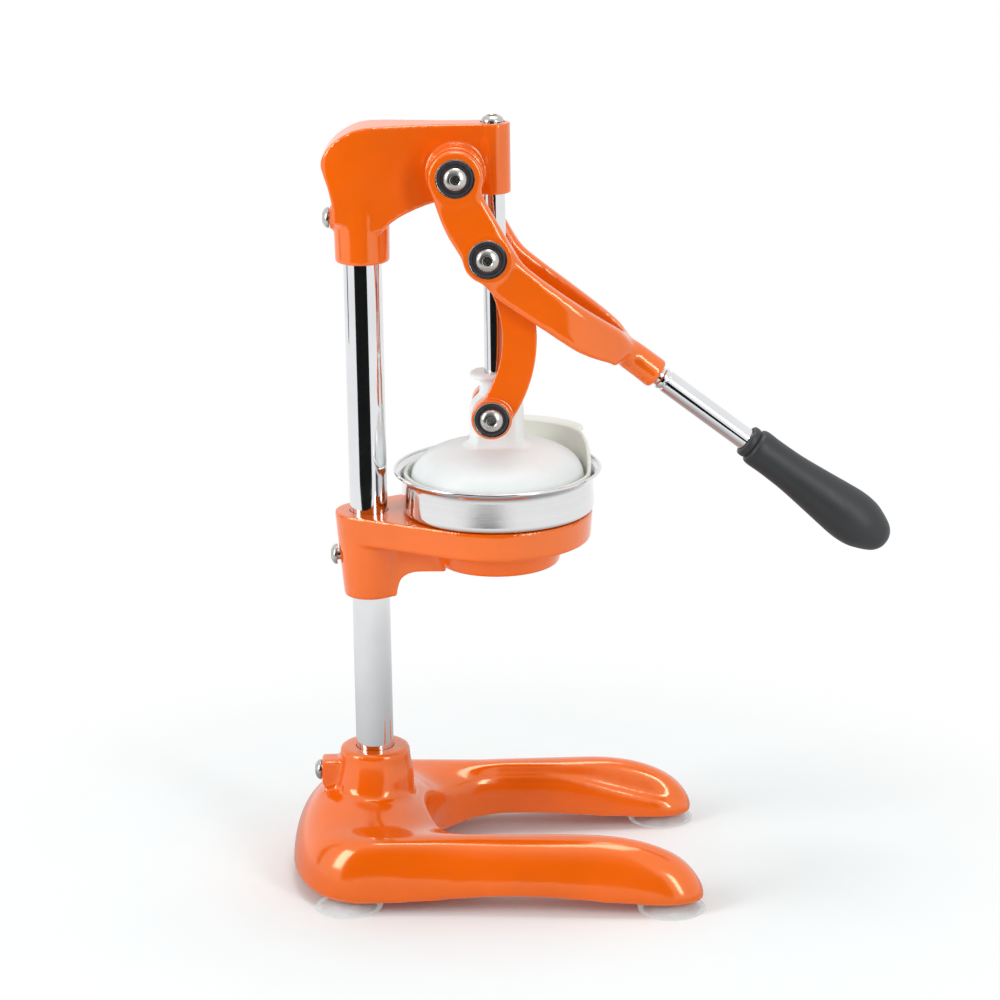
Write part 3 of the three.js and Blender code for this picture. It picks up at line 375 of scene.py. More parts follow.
BASE_BACK_X, BASE_ROUND_X, BASE_NOSE_X = -44.0, -4.0, 168.5
BASE_INNER_X, BASE_INNER_R = 71.0, 43.0
BASE_BACK_HALF, BASE_FRONT_HALF = 68.0, 76.0
LEG_WIDTH, NOSE_ROUND, NOSE_SLOPE = 31.0, 18.5, 58.5
BASE_EDGE, BASE_CREST, BASE_POWER = 6.0, 37.5, 2.2
FOOT_SPOTS = {
    "front_near": (152.0, -61.5), "front_far": (152.0, 61.5),
    "back_near": (-13.0, -54.0), "back_far": (-13.0, 54.0),
}


def base_outer(x):
    return mix(BASE_BACK_HALF, BASE_FRONT_HALF,
               eased((x - BASE_ROUND_X) / (BASE_NOSE_X - BASE_ROUND_X)))


def leg_cut(x, width):
    outer = base_outer(min(x, BASE_NOSE_X - NOSE_ROUND))
    straight = eased((x - BASE_INNER_X) / NOSE_SLOPE)
    inner = mix(BASE_INNER_R, outer - LEG_WIDTH, straight)
    middle = outer - LEG_WIDTH / 2
    return x, (x, -mix(middle, inner, width)), (x, -mix(middle, outer, width))


def back_cut(turn):
    angle = math.pi / 2 * turn
    inner = (BASE_INNER_X - BASE_INNER_R * math.sin(angle), -BASE_INNER_R * math.cos(angle))
    if turn < 0.42:
        x = mix(BASE_INNER_X, BASE_ROUND_X, turn / 0.42)
        return inner[0], inner, (x, -base_outer(x))
    bend = math.pi / 2 * (turn - 0.42) / 0.58
    power = 2 / BASE_POWER
    outer = (
        BASE_ROUND_X - (BASE_ROUND_X - BASE_BACK_X) * math.sin(bend) ** power,
        -BASE_BACK_HALF * max(0.0, math.cos(bend)) ** power,
    )
    return inner[0], inner, outer


def base_cuts():
    round_x = BASE_NOSE_X - NOSE_ROUND
    noses = [0.999, 0.985, 0.96, 0.92, 0.86, 0.78, 0.67, 0.54, 0.4, 0.25, 0.1]
    near = [leg_cut(round_x + NOSE_ROUND * s, fall(s, BASE_POWER)) for s in noses]
    near += [leg_cut(mix(round_x, BASE_INNER_X, i / 12), 1) for i in range(12)]
    near += [back_cut(i / 32) for i in range(33)]
    far = [(x, (a, -b), (c, -d)) for x, (a, b), (c, d) in near[:-1]]
    return near + far[::-1]


def base_edge(x):
    """Height of the lower edge, which arches between the feet."""
    arch = min(1.0, max(0.0, (x - BASE_ROUND_X) / (152.0 - BASE_ROUND_X)))
    return BASE_EDGE + 4 * math.sin(math.pi * arch) ** 2


def base_levels(x):
    """Heights of the crest and the inner ridge where a cut stands."""
    nose = min(1.0, max(0.0, (x - BASE_NOSE_X + NOSE_SLOPE) / NOSE_SLOPE))
    edge = base_edge(x)
    crest = mix(edge, BASE_CREST, math.sqrt(max(0.0, 1 - nose**BASE_POWER)))
    start = BASE_INNER_X + LEG_WIDTH / 2
    lowered = eased((x - start) / (BASE_NOSE_X - NOSE_ROUND - start))
    return crest, mix(edge, crest, mix(0.79, 0.45, lowered))


def swell(x, y, z):
    """The skin rises towards the pillar's boss from all round."""
    return x, y, z + 8 * eased((48 - math.hypot(x, y)) / 28)


def across(inner, outer, width, points):
    return [
        (mix(inner[0], outer[0], d / width), mix(inner[1], outer[1], d / width), z)
        for d, z in points
    ]


def base_rows():
    """Closed cuts: over the skin from the inner to the outer foot, and back under the hollow."""
    for x, inner, outer in base_cuts():
        width = math.dist(inner, outer)
        crest, ridge = base_levels(x)
        foot_in, foot_out = base_edge(inner[0]), base_edge(outer[0])
        crown = width - min(18.5, width * 0.6)
        inset = min(4.0, width * 0.16)
        lip = min(1.4, width * 0.1)
        wall = [(lip / 2, foot_in)]
        wall += spanned([(0, 0.2), (0.35, 0.85), (1, 1)], (0, foot_in), (inset, ridge))
        over = [(inset, ridge)]
        over += spanned([(0.3, 0.66), (0.65, 0.94), (1, 1)], (inset, ridge), (crown, crest))
        over += spanned(
            [(0.38, 0.93), (0.71, 0.72), (0.92, 0.42), (1, 0.1)], (crown, foot_out), (width, crest)
        )
        under = [
            (width - 6.5, foot_out), (width - 11, (foot_out + crest) / 2), (width - 17.5, crest - 5),
            (9, ridge - 5), (5, (foot_in + ridge) / 2), (5, foot_in),
        ] if x < 155.6 else [
            (mix(lip, width - lip * 1.5, share), mix(foot_in, foot_out, share))
            for share in (0.9, 0.75, 0.6, 0.4, 0.25, 0.1)
        ]
        skin_line = smooth_line(wall, 7)[:-1] + smooth_line(over, 28)
        yield (
            [swell(*place) for place in across(inner, outer, width, skin_line)]
            + across(inner, outer, width, [(width - lip, foot_out)] + under)
        )


def screw_bore(from_x, z):
    far = 2 - from_x
    bore = spun("screw_bore", [(0, 7), (SCREW_BORE, 7), (SCREW_BORE, far), (0, far)], 32)
    return turned_to(bore, BACKWARD, spot(0, 0, z))


def pillar_bore(low, high):
    bore = spun("pillar_bore", [(0, low), (PILLAR_BORE, low), (PILLAR_BORE, high), (0, high)])
    return turned_to(bore, UPRIGHT, spot(0, 0, 0))


def base_boss():
    """The pillar's boss, sweeping out over the shoulders but not past the throat."""
    side = smooth_line(
        [(18.0, 66.3), (18.6, 60), (20.3, 51), (22.3, 43.5), (24.2, 38.6), (26.2, 34.6), (28.5, 30)], 28
    )
    boss = spun("base_boss", [(0, 24), (29.5, 24)] + side[::-1] + [(17.2, 67.5), (0, 67.5)])
    for vertex in boss.data.vertices:
        x, y, z = vertex.co / MM
        reach = math.hypot(x, y)
        if reach > 20 and x > 0:
            kept = mix(1.0, 0.12, eased(math.cos(math.atan2(y, x)) * 1.25))
            shrink = (20 + (reach - 20) * kept) / reach
            vertex.co = (x * shrink * MM, y * shrink * MM, vertex.co.z)
    return turned_to(boss, UPRIGHT, spot(0, 0, 0))


def base_softness(x, y, z):
    """How far the skin relaxes: little at the boss top, the inner ridge and the lower edge."""
    if x < BASE_INNER_X:
        inside = math.hypot(x - BASE_INNER_X, y) - BASE_INNER_R
    else:
        inside = abs(y) - mix(BASE_INNER_R, base_outer(min(x, 150.0)) - LEG_WIDTH,
                              eased((x - BASE_INNER_X) / NOSE_SLOPE))
    ridge = mix(0.06, 1.0, eased((inside - 6) / 6))
    boss = mix(0.05, 1.0, eased((56 - z) / 16)) if math.hypot(x, y) < 30 else 1.0
    lug = 0.04 if x < -15.5 and abs(y) < 9 and z > 42 else 1.0
    return min(ridge, boss, lug, mix(0.03, 1.0, eased((z - 8) / 10)))


def shifted(obj):
    return turned_to(obj, UPRIGHT, spot(0, 0, 0))


def make_base(grain):
    shell = shifted(skin("base_shell", base_rows()))
    lug = side_plate("base_lug", rounded(
        [(-9.75, 60.8), (-9.75, 37.5), (-18.2, 37.5), (-28, 47.2), (-28, 60.8)], [0, 0, 0, 2, 1]
    ), -6.5, 6.5)
    column = spun("base_column", [(0, 8), (15, 8), (15, 37.5), (0, 37.5)])
    boss = [(0, 6), (8.5, 6), (8.5, 18.75), (0, 18.75)]
    bosses = [turned_to(spun("foot_boss", boss, 32), UPRIGHT, spot(x, y, 0))
              for x, y in FOOT_SPOTS.values()]
    gathered(shell, base_boss(), shifted(lug), shifted(column), *bosses)
    cast(shell, grain, 56, base_softness)
    combined(shell, "DIFFERENCE", pillar_bore(12, 70), screw_bore(-28, 54))
    for x, y in FOOT_SPOTS.values():
        bore = spun("foot_bore", [(0, -2), (3.9, -2), (3.9, 14), (0, 14)], 32)
        combined(shell, "DIFFERENCE", turned_to(bore, UPRIGHT, spot(x, y, 0)))
    return soft_shaded(shell)


# Bowl bracket

BRACKET_TOP, BRACKET_FOOT = 195.8, 151.0


def bracket_plan(inset):
    nose, loop = 17.9 - inset, 49.0 - inset
    lean = math.degrees(math.asin((loop - nose) / PRESS_X))
    return (arc(PRESS_X, 0, loop, -90 - lean, 90 + lean, 84)
            + arc(0, 0, nose, 90 + lean, 270 - lean, 36))


def make_bracket(grain):
    under, top = BRACKET_TOP - 15, BRACKET_TOP
    rows = [
        [(x, y, z) for x, y in bracket_plan(inset)]
        for inset, z in [(2.4, under), (1.6, under + 0.6), (0.55, top - 0.5), (0.9, top)]
    ]
    plate = shifted(skin("bowl_bracket", rows))
    inside = under + 2
    sleeve = shifted(spun("bracket_sleeve", [
        (0, BRACKET_FOOT), (13.1, BRACKET_FOOT), (13.6, BRACKET_FOOT + 0.5),
        (16.4, inside), (0, inside),
    ]))
    web_foot, hub_foot, bore_x = top - 31.3, top - 27.8, PRESS_X - 27
    fillet = spanned(
        [(0, 0), (0.03, 0.4), (0.13, 0.8), (0.4, 1), (1, 1)], (13.6, BRACKET_FOOT), (bore_x, web_foot)
    )
    web = shifted(side_plate("bracket_web", [
        (9.75, inside), (9.75, BRACKET_FOOT + 0.3), *smooth_line(fillet, 24)[1:],
        (bore_x, hub_foot), (bore_x, inside),
    ], -9.5, 9.5))
    hub = turned_to(spun("bracket_hub", [
        (0, hub_foot), (30.4, hub_foot), (31.4, hub_foot + 1), (33, 175.6), (35.5, under),
        (35.5, inside), (0, inside),
    ], 128), UPRIGHT, spot(PRESS_X, 0, 0))
    gathered(plate, sleeve, web, hub)
    cast(plate, grain, 5, lambda x, y, z: mix(1.0, 0.35, eased((z - top + 4) / 3)))
    bore = turned_to(spun("bowl_bore", [
        (0, hub_foot - 2), (27, hub_foot - 2), (27, top + 2), (0, top + 2)
    ], 128), UPRIGHT, spot(PRESS_X, 0, 0))
    combined(plate, "DIFFERENCE", pillar_bore(149, 198), bore, screw_bore(-17.9, top - 23.6))
    return soft_shaded(plate)


# Head

HEAD_TOP, HEAD_FOOT = 394.8, 325.6


def laid_across(obj, x, z):
    return turned_to(obj, FARWARD, spot(x, 0, z))


def cross_bore(radius, reach, x, z):
    bore = spun("cross_bore", [(0, -reach), (radius, -reach), (radius, reach), (0, reach)], 64)
    return laid_across(bore, x, z)


def make_head(grain):
    corners = ((0, HEAD_FOOT), (PRESS_X, HEAD_TOP))
    back = spanned([(-0.213, 0.3), (-0.213, 0.41), (-0.221, 0.47), (-0.24, 0.55), (-0.268, 0.635),
                    (-0.295, 0.715)], *corners)
    over = spanned([
        (-0.285, 0.765), (-0.236, 0.845), (-0.151, 0.92), (-0.015, 0.983), (0.15, 1), (0.45, 1.003),
        (1.132, 1)
    ], *corners)
    under = spanned([(0.85, 0.49), (0.54, 0.435), (0.3, 0.345), (0.147, 0.24)], *corners)
    side = (smooth_line(back, 24) + smooth_line(over, 48)
            + [(PRESS_X + 8.7, HEAD_TOP - 35.3)] + smooth_line(under, 24))
    arm = shifted(side_plate("head_arm", side, -15.2, 15.2))
    half = smooth_line([(-20.2, 0)] + spanned([
        (-0.285, 0.2), (-0.2, 0.62), (-0.09, 0.9), (0.03, 1), (0.2, 0.8), (0.38, 0.45),
        (0.55, 0.16), (0.72, 0.02), (0.8, 0)
    ], (0, 7.2), (PRESS_X, 13.3)), 70) + [(PRESS_X - 5.2, 7.2)] + arc(PRESS_X, 0, 8.7, 124, 0, 20)
    combined(arm, "INTERSECT", shifted(plan_plate("head_plan", mirrored(half), 320, 400)))
    sleeve = shifted(spun("head_sleeve", [
        (0, HEAD_FOOT), (13.2, HEAD_FOOT), (13.7, HEAD_FOOT + 0.5), (14.1, 350), (12.6, 368.5),
        (0, 371.3),
    ]))
    boss = spun("pivot_boss", [(0, -LINK_OUT), (14, -LINK_OUT), (14, LINK_OUT), (0, LINK_OUT)])
    screw_boss = spun("screw_boss", [(0, 9.75), (5.8, 9.75), (5.8, 15.8), (0, 15.8)], 48)
    gathered(arm, sleeve, laid_across(boss, *UPPER),
             turned_to(screw_boss, BACKWARD, spot(0, 0, 347.8)))
    cast(arm, grain, 8, lambda x, y, z: 1.0 if abs(x) < 45 and z > 330 else mix(1.0, 0.4, eased(
        max((330 - z) / 3, (x - 52) / 8))))
    rod_bore = spun("rod_bore", [(0, 350), (ROD_BORE, 350), (ROD_BORE, 400), (0, 400)])
    rod_bore = turned_to(rod_bore, UPRIGHT, spot(PRESS_X, 0, 0))
    combined(arm, "DIFFERENCE", pillar_bore(320, 372), rod_bore, screw_bore(-15.8, 347.8),
             cross_bore(SCREW_BORE, 20, *UPPER))
    return soft_shaded(arm)


# Fork of the lever

def along_handle(distance, offset):
    c, s = math.cos(HANDLE_SLOPE), math.sin(HANDLE_SLOPE)
    return SOCKET_END[0] + c * distance + s * offset, SOCKET_END[1] - s * distance + c * offset


def to_handle(obj):
    return turned_to(obj, ALONG_HANDLE, spot(SOCKET_END[0], 0, SOCKET_END[1]))


def fork_softness(x, y, z):
    """Well rounded along the prongs and nose, crisp at the two eyes and the socket's end."""
    eyes = min(math.dist((x, z), UPPER), math.dist((x, z), MIDDLE))
    at_eye = mix(0.1, 1.0, eased((eyes - 11.5) / 4))
    return min(at_eye, mix(1.0, 0.1, eased((x - SOCKET_END[0] + 14) / 8)))


def make_fork(grain):
    nose_x, waist_x = SOCKET_END[0] - 10.8, PRESS_X + 23.9
    slot_x = nose_x - 7
    corners = (UPPER, (nose_x, SOCKET_END[1]))
    lower = smooth_line(spanned([
        (-0.15, 0.03), (-0.07, 0.235), (0.026, 0.376), (0.127, 0.486), (0.236, 0.581),
        (0.456, 0.712), (0.676, 0.842), (0.86, 0.912),
    ], *corners), 56)
    upper = smooth_line(spanned([
        (1.0, 0.86), (0.95, 0.8), (0.89, 0.746), (0.677, 0.615), (0.458, 0.476), (0.35, 0.39),
        (0.242, 0.229), (0.15, 0.085), (0.149, 0.036),
    ], *corners), 56)
    side = lower + [along_handle(-22, -7.9)] + upper
    side += arc(*UPPER, 13.9, 0, 180, 40)[:-1]
    blade = shifted(side_plate("fork_blade", side, -PRONG_OUT, PRONG_OUT))
    face = PRONG_OUT - 0.8
    outer = smooth_line(
        spanned([(0, 1), (0.3, 0.95), (0.58, 0.8), (0.8, 0.58), (0.93, 0.37), (1, 0.22)],
                (waist_x, 0), (nose_x, face)), 50
    )
    inner = smooth_line(
        spanned([(0, 1), (0.35, 0.9), (0.72, 0.62), (0.95, 0.26), (1, 0)],
                (waist_x, 0), (slot_x, PRONG_IN)), 40
    )
    back_x = UPPER[0] - 16
    half = outer[::-1] + [(back_x, face), (back_x, PRONG_IN)] + inner
    plan = shifted(plan_plate("fork_plan", mirrored(half[::-1]), LOWER[1], UPPER[1] + 20))
    combined(blade, "INTERSECT", plan)
    eyes = [
        laid_across(spun("fork_eye", [(0, near), (radius, near), (radius, far), (0, far)]), x, z)
        for (x, z), radius in ((UPPER, 14.0), (MIDDLE, 12.3))
        for near, far in ((-PRONG_OUT, -PRONG_IN), (PRONG_IN, PRONG_OUT))
    ]
    socket = spun("fork_socket", [
        (0, -25), (4, -24.5), (7.9, -21), (7.9, -1), (6.9, 0), (0, 0)
    ])
    gathered(blade, to_handle(socket), *eyes)
    cast(blade, grain, 90, fork_softness)
    thread = spun("thread_bore", [(0, -16.3), (4.3, -16.3), (4.3, 2), (0, 2)], 48)
    combined(blade, "DIFFERENCE", cross_bore(BUSH_BORE, 30, *UPPER), cross_bore(BUSH_BORE, 30, *MIDDLE),
             to_handle(thread))
    return soft_shaded(blade, 60)


# Links

def make_link(grain):
    """The far link: a bowed band between two eyes, its lower eye raised outward."""
    dx, dz = MIDDLE[0] - LOWER[0], MIDDLE[1] - LOWER[1]
    chord, bow, half_width = math.hypot(dx, dz), 14.9, 8.7
    radius = chord * chord / (8 * bow) + bow / 2
    x = (MIDDLE[0] + LOWER[0]) / 2 - dz / chord * (radius - bow)
    z = (MIDDLE[1] + LOWER[1]) / 2 + dx / chord * (radius - bow)
    half = math.degrees(math.asin(chord / 2 / radius))
    tilt = math.degrees(math.atan2(-dx, dz))
    band = shifted(side_plate("link_band", (
        arc(x, z, radius + half_width, tilt - half, tilt + half, 40)
        + arc(x, z, radius - half_width, tilt + half, tilt - half, 40)
    ), LINK_IN, LINK_OUT))
    eye = spun("link_eye", [(0, LINK_IN), (12, LINK_IN), (12, LINK_OUT), (0, LINK_OUT)])
    boss = spun("link_boss", [(0, LINK_IN), (10.3, LINK_IN), (10.3, LOWER_FACE), (0, LOWER_FACE)])
    gathered(band, laid_across(eye, *MIDDLE), laid_across(boss, *LOWER))
    cast(band, grain, 12)
    combined(band, "DIFFERENCE", cross_bore(SCREW_BORE, 25, *MIDDLE), cross_bore(9.2, 25, *LOWER))
    return soft_shaded(band)


# Rods, grip and feet

def make_pillar():
    low, high = (corner.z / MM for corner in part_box("pillar_tube"))
    tube = spun("pillar_tube", [
        (8.25, low), (9.35, low), (9.75, low + 0.4), (9.75, high - 0.4), (9.35, high), (8.25, high)
    ], 128)
    return soft_shaded(turned_to(tube, UPRIGHT, spot(0, 0, 0)))


def make_plunger():
    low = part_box("plunger_rod")[0].z / MM
    section = [(0, low), (5.5, low), (5.85, low + 0.4), (5.85, 394.2), (5.3, 394.8), (3.3, 394.8),
               (3.3, 381), (0, 381)]
    return soft_shaded(turned_to(spun("plunger_rod", section, 96), UPRIGHT, spot(PRESS_X, 0, 0)))


def make_handle_rod():
    section = [
        (0, -16), (4, -16), (4, 0.3), (4.75, 0.3), (4.9, 0.5), (4.9, 1.7), (5.2, 2.0),
        (5.7, 2.25), (5.8, 2.7), (5.8, 3.6), (5.6, 4.0), (5.2, 4.25), (5.15, 4.9), (5.4, 5.2),
        (5.8, 5.5), (5.8, 126), (0, 126),
    ]
    return soft_shaded(to_handle(spun("handle_rod", section, 96)), 25)


def make_grip():
    """A moulded grip: rolled collar, groove, waist, swelling palm and a rounded end."""
    palm = smooth_line([
        (9.55, 5.9), (9.85, 8.5), (9.7, 16), (10.1, 29), (11.4, 42.5), (12.9, 56), (13.8, 66),
        (13.3, 74), (11.5, 80), (8.3, 86.6), (4.5, 90), (0, 91),
    ], 88)
    section = [
        (6.1, 0.1), (6.8, 0), (7.7, 0.15), (8.2, 0.7), (8.3, 1.5), (8.3, 3.1), (8.1, 3.7), (7.75, 4.0),
        (7.7, 4.3), (8.2, 4.6), (9.1, 5.1),
    ] + palm + [(0, 70), (6.1, 70)]
    grip = turned_to(spun("handle_grip", section, 112), UPRIGHT, Vector((0, 0, 56.7 * MM)))
    return soft_shaded(to_handle(grip), 40)


def make_foot():
    """A suction foot: thin flared skirt, hollow under it, stem with a collar."""
    skirt = smooth_line([(8, 4.9), (11, 4.3), (14, 2.9), (16.4, 1.1), (17.4, 0.25)], 20)
    under = smooth_line([(14.5, 0), (12.5, 1.3), (9.6, 2.2), (5, 2.75), (0, 2.85)], 20)
    section = under[::-1] + [(17.2, 0)] + skirt[::-1] + [
        (8, 5.7), (3.6, 5.7), (3.6, 12.5), (2.5, 13.7), (0, 13.7)
    ]
    return spun("suction_foot", section, 96)


# Bowl, strainer and cup

BOWL_FLOOR = BRACKET_TOP + 0.3
BOWL_TOP = 218.0


def make_bowl(bead):
    """One pressed sheet: round bottom corner, spun wall, flared rim rolled into a bead."""
    outside = [(8.5, 164.0), (8.5, 176.6), (9.0, 177.4), (26.0, 183.7), (26.5, 184.6), (26.5, 195.2),
               (26.8, 195.85), (27.4, BOWL_FLOOR)]
    outside += smooth_line([
        (46.6, BOWL_FLOOR), (48.1, BOWL_FLOOR + 0.45), (48.95, BOWL_FLOOR + 1.5),
        (49.2, BOWL_FLOOR + 3.2),
    ], 12)
    outside += smooth_line([(48.55, 211.6), (48.9, 213.4), (50.0, 214.9), (51.4, 216.2)], 14)
    roll = arc(53.1 - bead, BOWL_TOP - bead, bead, -60, 200, 22)
    inside = [(50.0, 216.1), (49.0, 214.6), (48.1, 213.0), (47.9, 211.4), (48.2, BOWL_FLOOR + 3.2)]
    inside += [(48.0, BOWL_FLOOR + 2.0), (47.3, BOWL_FLOOR + 1.1), (46.2, BOWL_FLOOR + 0.8)]
    inside += [(27.2, BOWL_FLOOR + 0.8), (26.2, 196.4), (25.7, 195.4), (25.7, 184.9), (25.2, 184.3),
               (8.5, 178.1), (7.7, 177.1), (7.7, 164.0)]
    bowl = spun("juice_bowl", outside + roll + inside, 160)
    return soft_shaded(turned_to(bowl, UPRIGHT, spot(PRESS_X, 0, 0)), 50)


STRAINER_SEAT, STRAINER_RIM, STRAINER_CREST = 197.2, 216.3, 230.8
CREST_ANGLE = 57.0
JUICE_SLOTS = 16


def strainer_rim(degrees):
    away = abs((degrees - CREST_ANGLE + 540) % 360 - 180)
    return mix(STRAINER_RIM, STRAINER_CREST, eased((70 - away) / 40))


def make_strainer(ribs):
    """A wall with a raised crest and a thin lip, a slotted floor and a ribbed reamer."""
    wall = []
    for i in range(180):
        degrees = i * 2
        turn, top = math.radians(degrees), strainer_rim(degrees)
        section = [(44.9, STRAINER_SEAT), (46.9, STRAINER_SEAT), (47.25, STRAINER_SEAT + 1.2)]
        section += arc(46.9, top - 1.0, 1.0, 0, 180, 8)
        section += [(45.1, STRAINER_SEAT + 7)]
        wall.append([(r * math.cos(turn), r * math.sin(turn), z) for r, z in section])
    strainer = skin("strainer_wall", wall, ring_of_rows=True)

    cone = smooth_line([
        (32, 203.4), (30, 205), (26.5, 208.2), (20, 213.3), (10, 219), (4, 221.5), (0, 222.2)
    ], 34)
    under = [(0, 218.2), (10, 215), (20, 209.2), (28, 203.6), (31, 201.2)]
    floor = spun("strainer_floor", [(46, 201.2), (46, 203.2), (33, 203.2)] + cone + under, 16 * ribs)
    for vertex in floor.data.vertices:
        x, y, z = vertex.co / MM
        reach = math.hypot(x, y)
        if z > 203.3 and 1 < reach < 32.5:
            wave = abs(math.sin(math.atan2(y, x) * ribs / 2)) ** 0.7
            depth = 1.9 * math.sin(math.pi * min(1.0, reach / 33)) ** 0.6
            shrink = 1 - depth * (1 - wave) / reach
            vertex.co = (x * shrink * MM, y * shrink * MM, (z - depth * 0.35 * (1 - wave)) * MM)
    lip = [(46.9 * math.cos(a), 46.9 * math.sin(a))
           for a in (math.radians(mix(CREST_ANGLE + 32, CREST_ANGLE - 26, i / 30)) for i in range(31))]
    for i in range(1, 48):
        share = 2 * i / 48 - 1
        reach = 47.5 + 8.6 * fall(abs(share), 3.6)
        turn = math.radians(CREST_ANGLE + 3 + 29 * share)
        lip.append((reach * math.cos(turn), reach * math.sin(turn)))
    tab = plan_plate("strainer_tab", lip, STRAINER_CREST - 2.4, STRAINER_CREST)
    modified(tab, "BEVEL", width=1.0 * MM, segments=4, limit_method="ANGLE",
             angle_limit=math.radians(60))
    slot = plan_plate("strainer_slot", rounded(
        [(35, -1.2), (42.9, -1.2), (42.9, 1.2), (35, 1.2)], 1.0, 5
    ), 199, 205)
    others = [copied(slot, f"slot_{i}", Matrix.Rotation(TURN * i / JUICE_SLOTS, 4, "Z"))
              for i in range(1, JUICE_SLOTS)]
    combined(floor, "DIFFERENCE", gathered(slot, *others))
    gathered(strainer, floor, tab)
    return soft_shaded(turned_to(strainer, UPRIGHT, spot(PRESS_X, 0, 0)), 40)


CUP_FOOT, CUP_TOP = 203.5, 230.0


def dome_line(radius, top, steps):
    outs = [math.sin(math.pi / 2 * (1 - i / steps)) ** 0.8 for i in range(steps + 1)]
    return [(radius * out, top - 22.5 * (1 - fall(out, 2.9))) for out in outs]


def make_cup():
    """The press cup: hollow dome and a flat-sided hub with a spread foot, round neck and flange."""
    dome = turned_to(spun("press_cup", (
        dome_line(41.5, CUP_TOP - 3, 28)[::-1]
        + [(41.5, CUP_FOOT + 0.6), (42.1, CUP_FOOT), (43.9, CUP_FOOT), (44.5, CUP_FOOT + 0.6)]
        + dome_line(44.5, CUP_TOP, 56)
    ), 128), UPRIGHT, spot(PRESS_X, 0, 0))
    hub = spun("cup_hub", [(0, 228), (17.5, 228), (17.3, 229.6)] + smooth_line(
        [(16.5, 230.0), (14.9, 231.3), (14.0, 233), (13.8, 236)], 14
    ) + smooth_line([(13.8, 248.5), (13.2, 251.5), (10.9, 254.6), (8.9, 256.6), (8.5, 258.4)], 18)
        + [(8.5, 264.2), (9.2, 265.1), (12.9, 265.1), (13.5, 265.6), (13.5, 267.2), (13.0, 267.7),
           (0, 267.7)], 96)
    slab = plan_plate("hub_slab", rounded(
        [(-18, -9.9), (18, -9.9), (18, 9.9), (-18, 9.9)], 0.5
    ), 225, 270)
    combined(hub, "INTERSECT", slab)
    gathered(dome, turned_to(hub, UPRIGHT, spot(PRESS_X, 0, 0)))
    cast(dome, 0.75, 5)
    bore = spun("rod_socket", [(0, 256.2), (ROD_BORE, 256.2), (ROD_BORE, 270), (0, 270)], 64)
    combined(dome, "DIFFERENCE", turned_to(bore, UPRIGHT, spot(PRESS_X, 0, 0)),
             cross_bore(5.3, 12.2, *LOWER))
    return soft_shaded(dome)


def make_axle():
    axle = spun("cross_axle", [
        (SCREW_BORE, -9.6), (4.6, -9.6), (5, -9.2), (5, 9.2), (4.6, 9.6), (SCREW_BORE, 9.6)
    ], 64)
    return soft_shaded(laid_across(axle, *LOWER))


# Fasteners and bushes, each kind modelled once about the origin

def make_screw(head, length, height=3.2):
    """A button head screw: domed head with a flat rim, hex socket, shank below."""
    dome = smooth_line([(head, 0.55), (head * 0.96, 1.3), (head * 0.82, 2.25), (head * 0.62, 2.9),
                        (head * 0.47, height)], 18)
    shank = [(0, -length), (2.5, -length), (3, -length + 0.6), (3, 0), (head - 0.3, 0), (head, 0.25)]
    crater = [(2.75, height), (2.45, height - 0.25), (0, height - 0.25)]
    screw = spun("button_screw", shank + dome + crater, 96)
    socket = plan_plate("hex_socket", arc(0, 0, 2.1, 0, 360, 6)[:-1], height - 1.2, height + 1)
    combined(screw, "DIFFERENCE", socket)
    return soft_shaded(screw, 28)


def make_bore_highlight_ring(radius, face):
    """A thin ring of bright metal round a bush's bore, showing as a thin bright ring: a painted
    highlight standing in for the light that the bore's edge catches.
    """
    return soft_shaded(spun("bore_highlight_ring", [
        (radius - 0.45, face - 0.5), (radius + 0.35, face - 0.5), (radius + 0.35, face - 0.1),
        (radius + 0.2, face + 0.12), (radius - 0.05, face + 0.15), (radius - 0.3, face + 0.05),
    ], 96), 30)


def make_bush(radius, low, high):
    """A moulded bush with a chamfered edge and a shallow ring round the screw head."""
    return soft_shaded(spun("pivot_bush", [
        (SCREW_BORE, low), (radius - 0.4, low), (radius, low + 0.4), (radius, high - 0.55),
        (radius - 0.6, high - 0.4), (radius - 0.75, high - 0.1), (radius - 1.0, high),
        (radius - 1.9, high), (radius - 2.05, high - 0.3), (radius - 2.35, high - 0.3),
        (radius - 2.5, high), (SCREW_BORE, high),
    ], 96), 30)


# Finishes: shared effects as node groups, then one material for each finish

def plugged(tree, node, inputs):
    """Gives a node's inputs each a value or another node's output."""
    for key, value in inputs.items():
        if isinstance(value, bpy.types.NodeSocket):
            tree.links.new(value, node.inputs[key])
        else:
            node.inputs[key].default_value = value
    return node


def add_node(tree, kind, inputs=None, **values):
    """A shader node with its settings and its inputs."""
    made = tree.nodes.new(kind)
    for key, value in values.items():
        setattr(made, key, value)
    return plugged(tree, made, inputs or {})


def noise(tree, **inputs):
    """A noise over the object's own coordinates."""
    place = add_node(tree, "ShaderNodeTexCoord")
    made = add_node(tree, "ShaderNodeTexNoise", {"Vector": place.outputs["Object"], **inputs})
    return made.outputs["Fac"]


def new_group(name, inputs, outputs):
    """An empty shader node group with named sockets."""
    tree = bpy.data.node_groups.new(name, "ShaderNodeTree")
    for label, kind, default in inputs:
        socket = tree.interface.new_socket(name=label, in_out="INPUT", socket_type=kind)
        socket.default_value = default
    for label, kind in outputs:
        tree.interface.new_socket(name=label, in_out="OUTPUT", socket_type=kind)
    return tree, tree.nodes.new("NodeGroupInput").outputs, tree.nodes.new("NodeGroupOutput").inputs


FLOAT, COLOUR, VECTOR = "NodeSocketFloat", "NodeSocketColor", "NodeSocketVector"
WHITE = (1.0, 1.0, 1.0, 1.0)


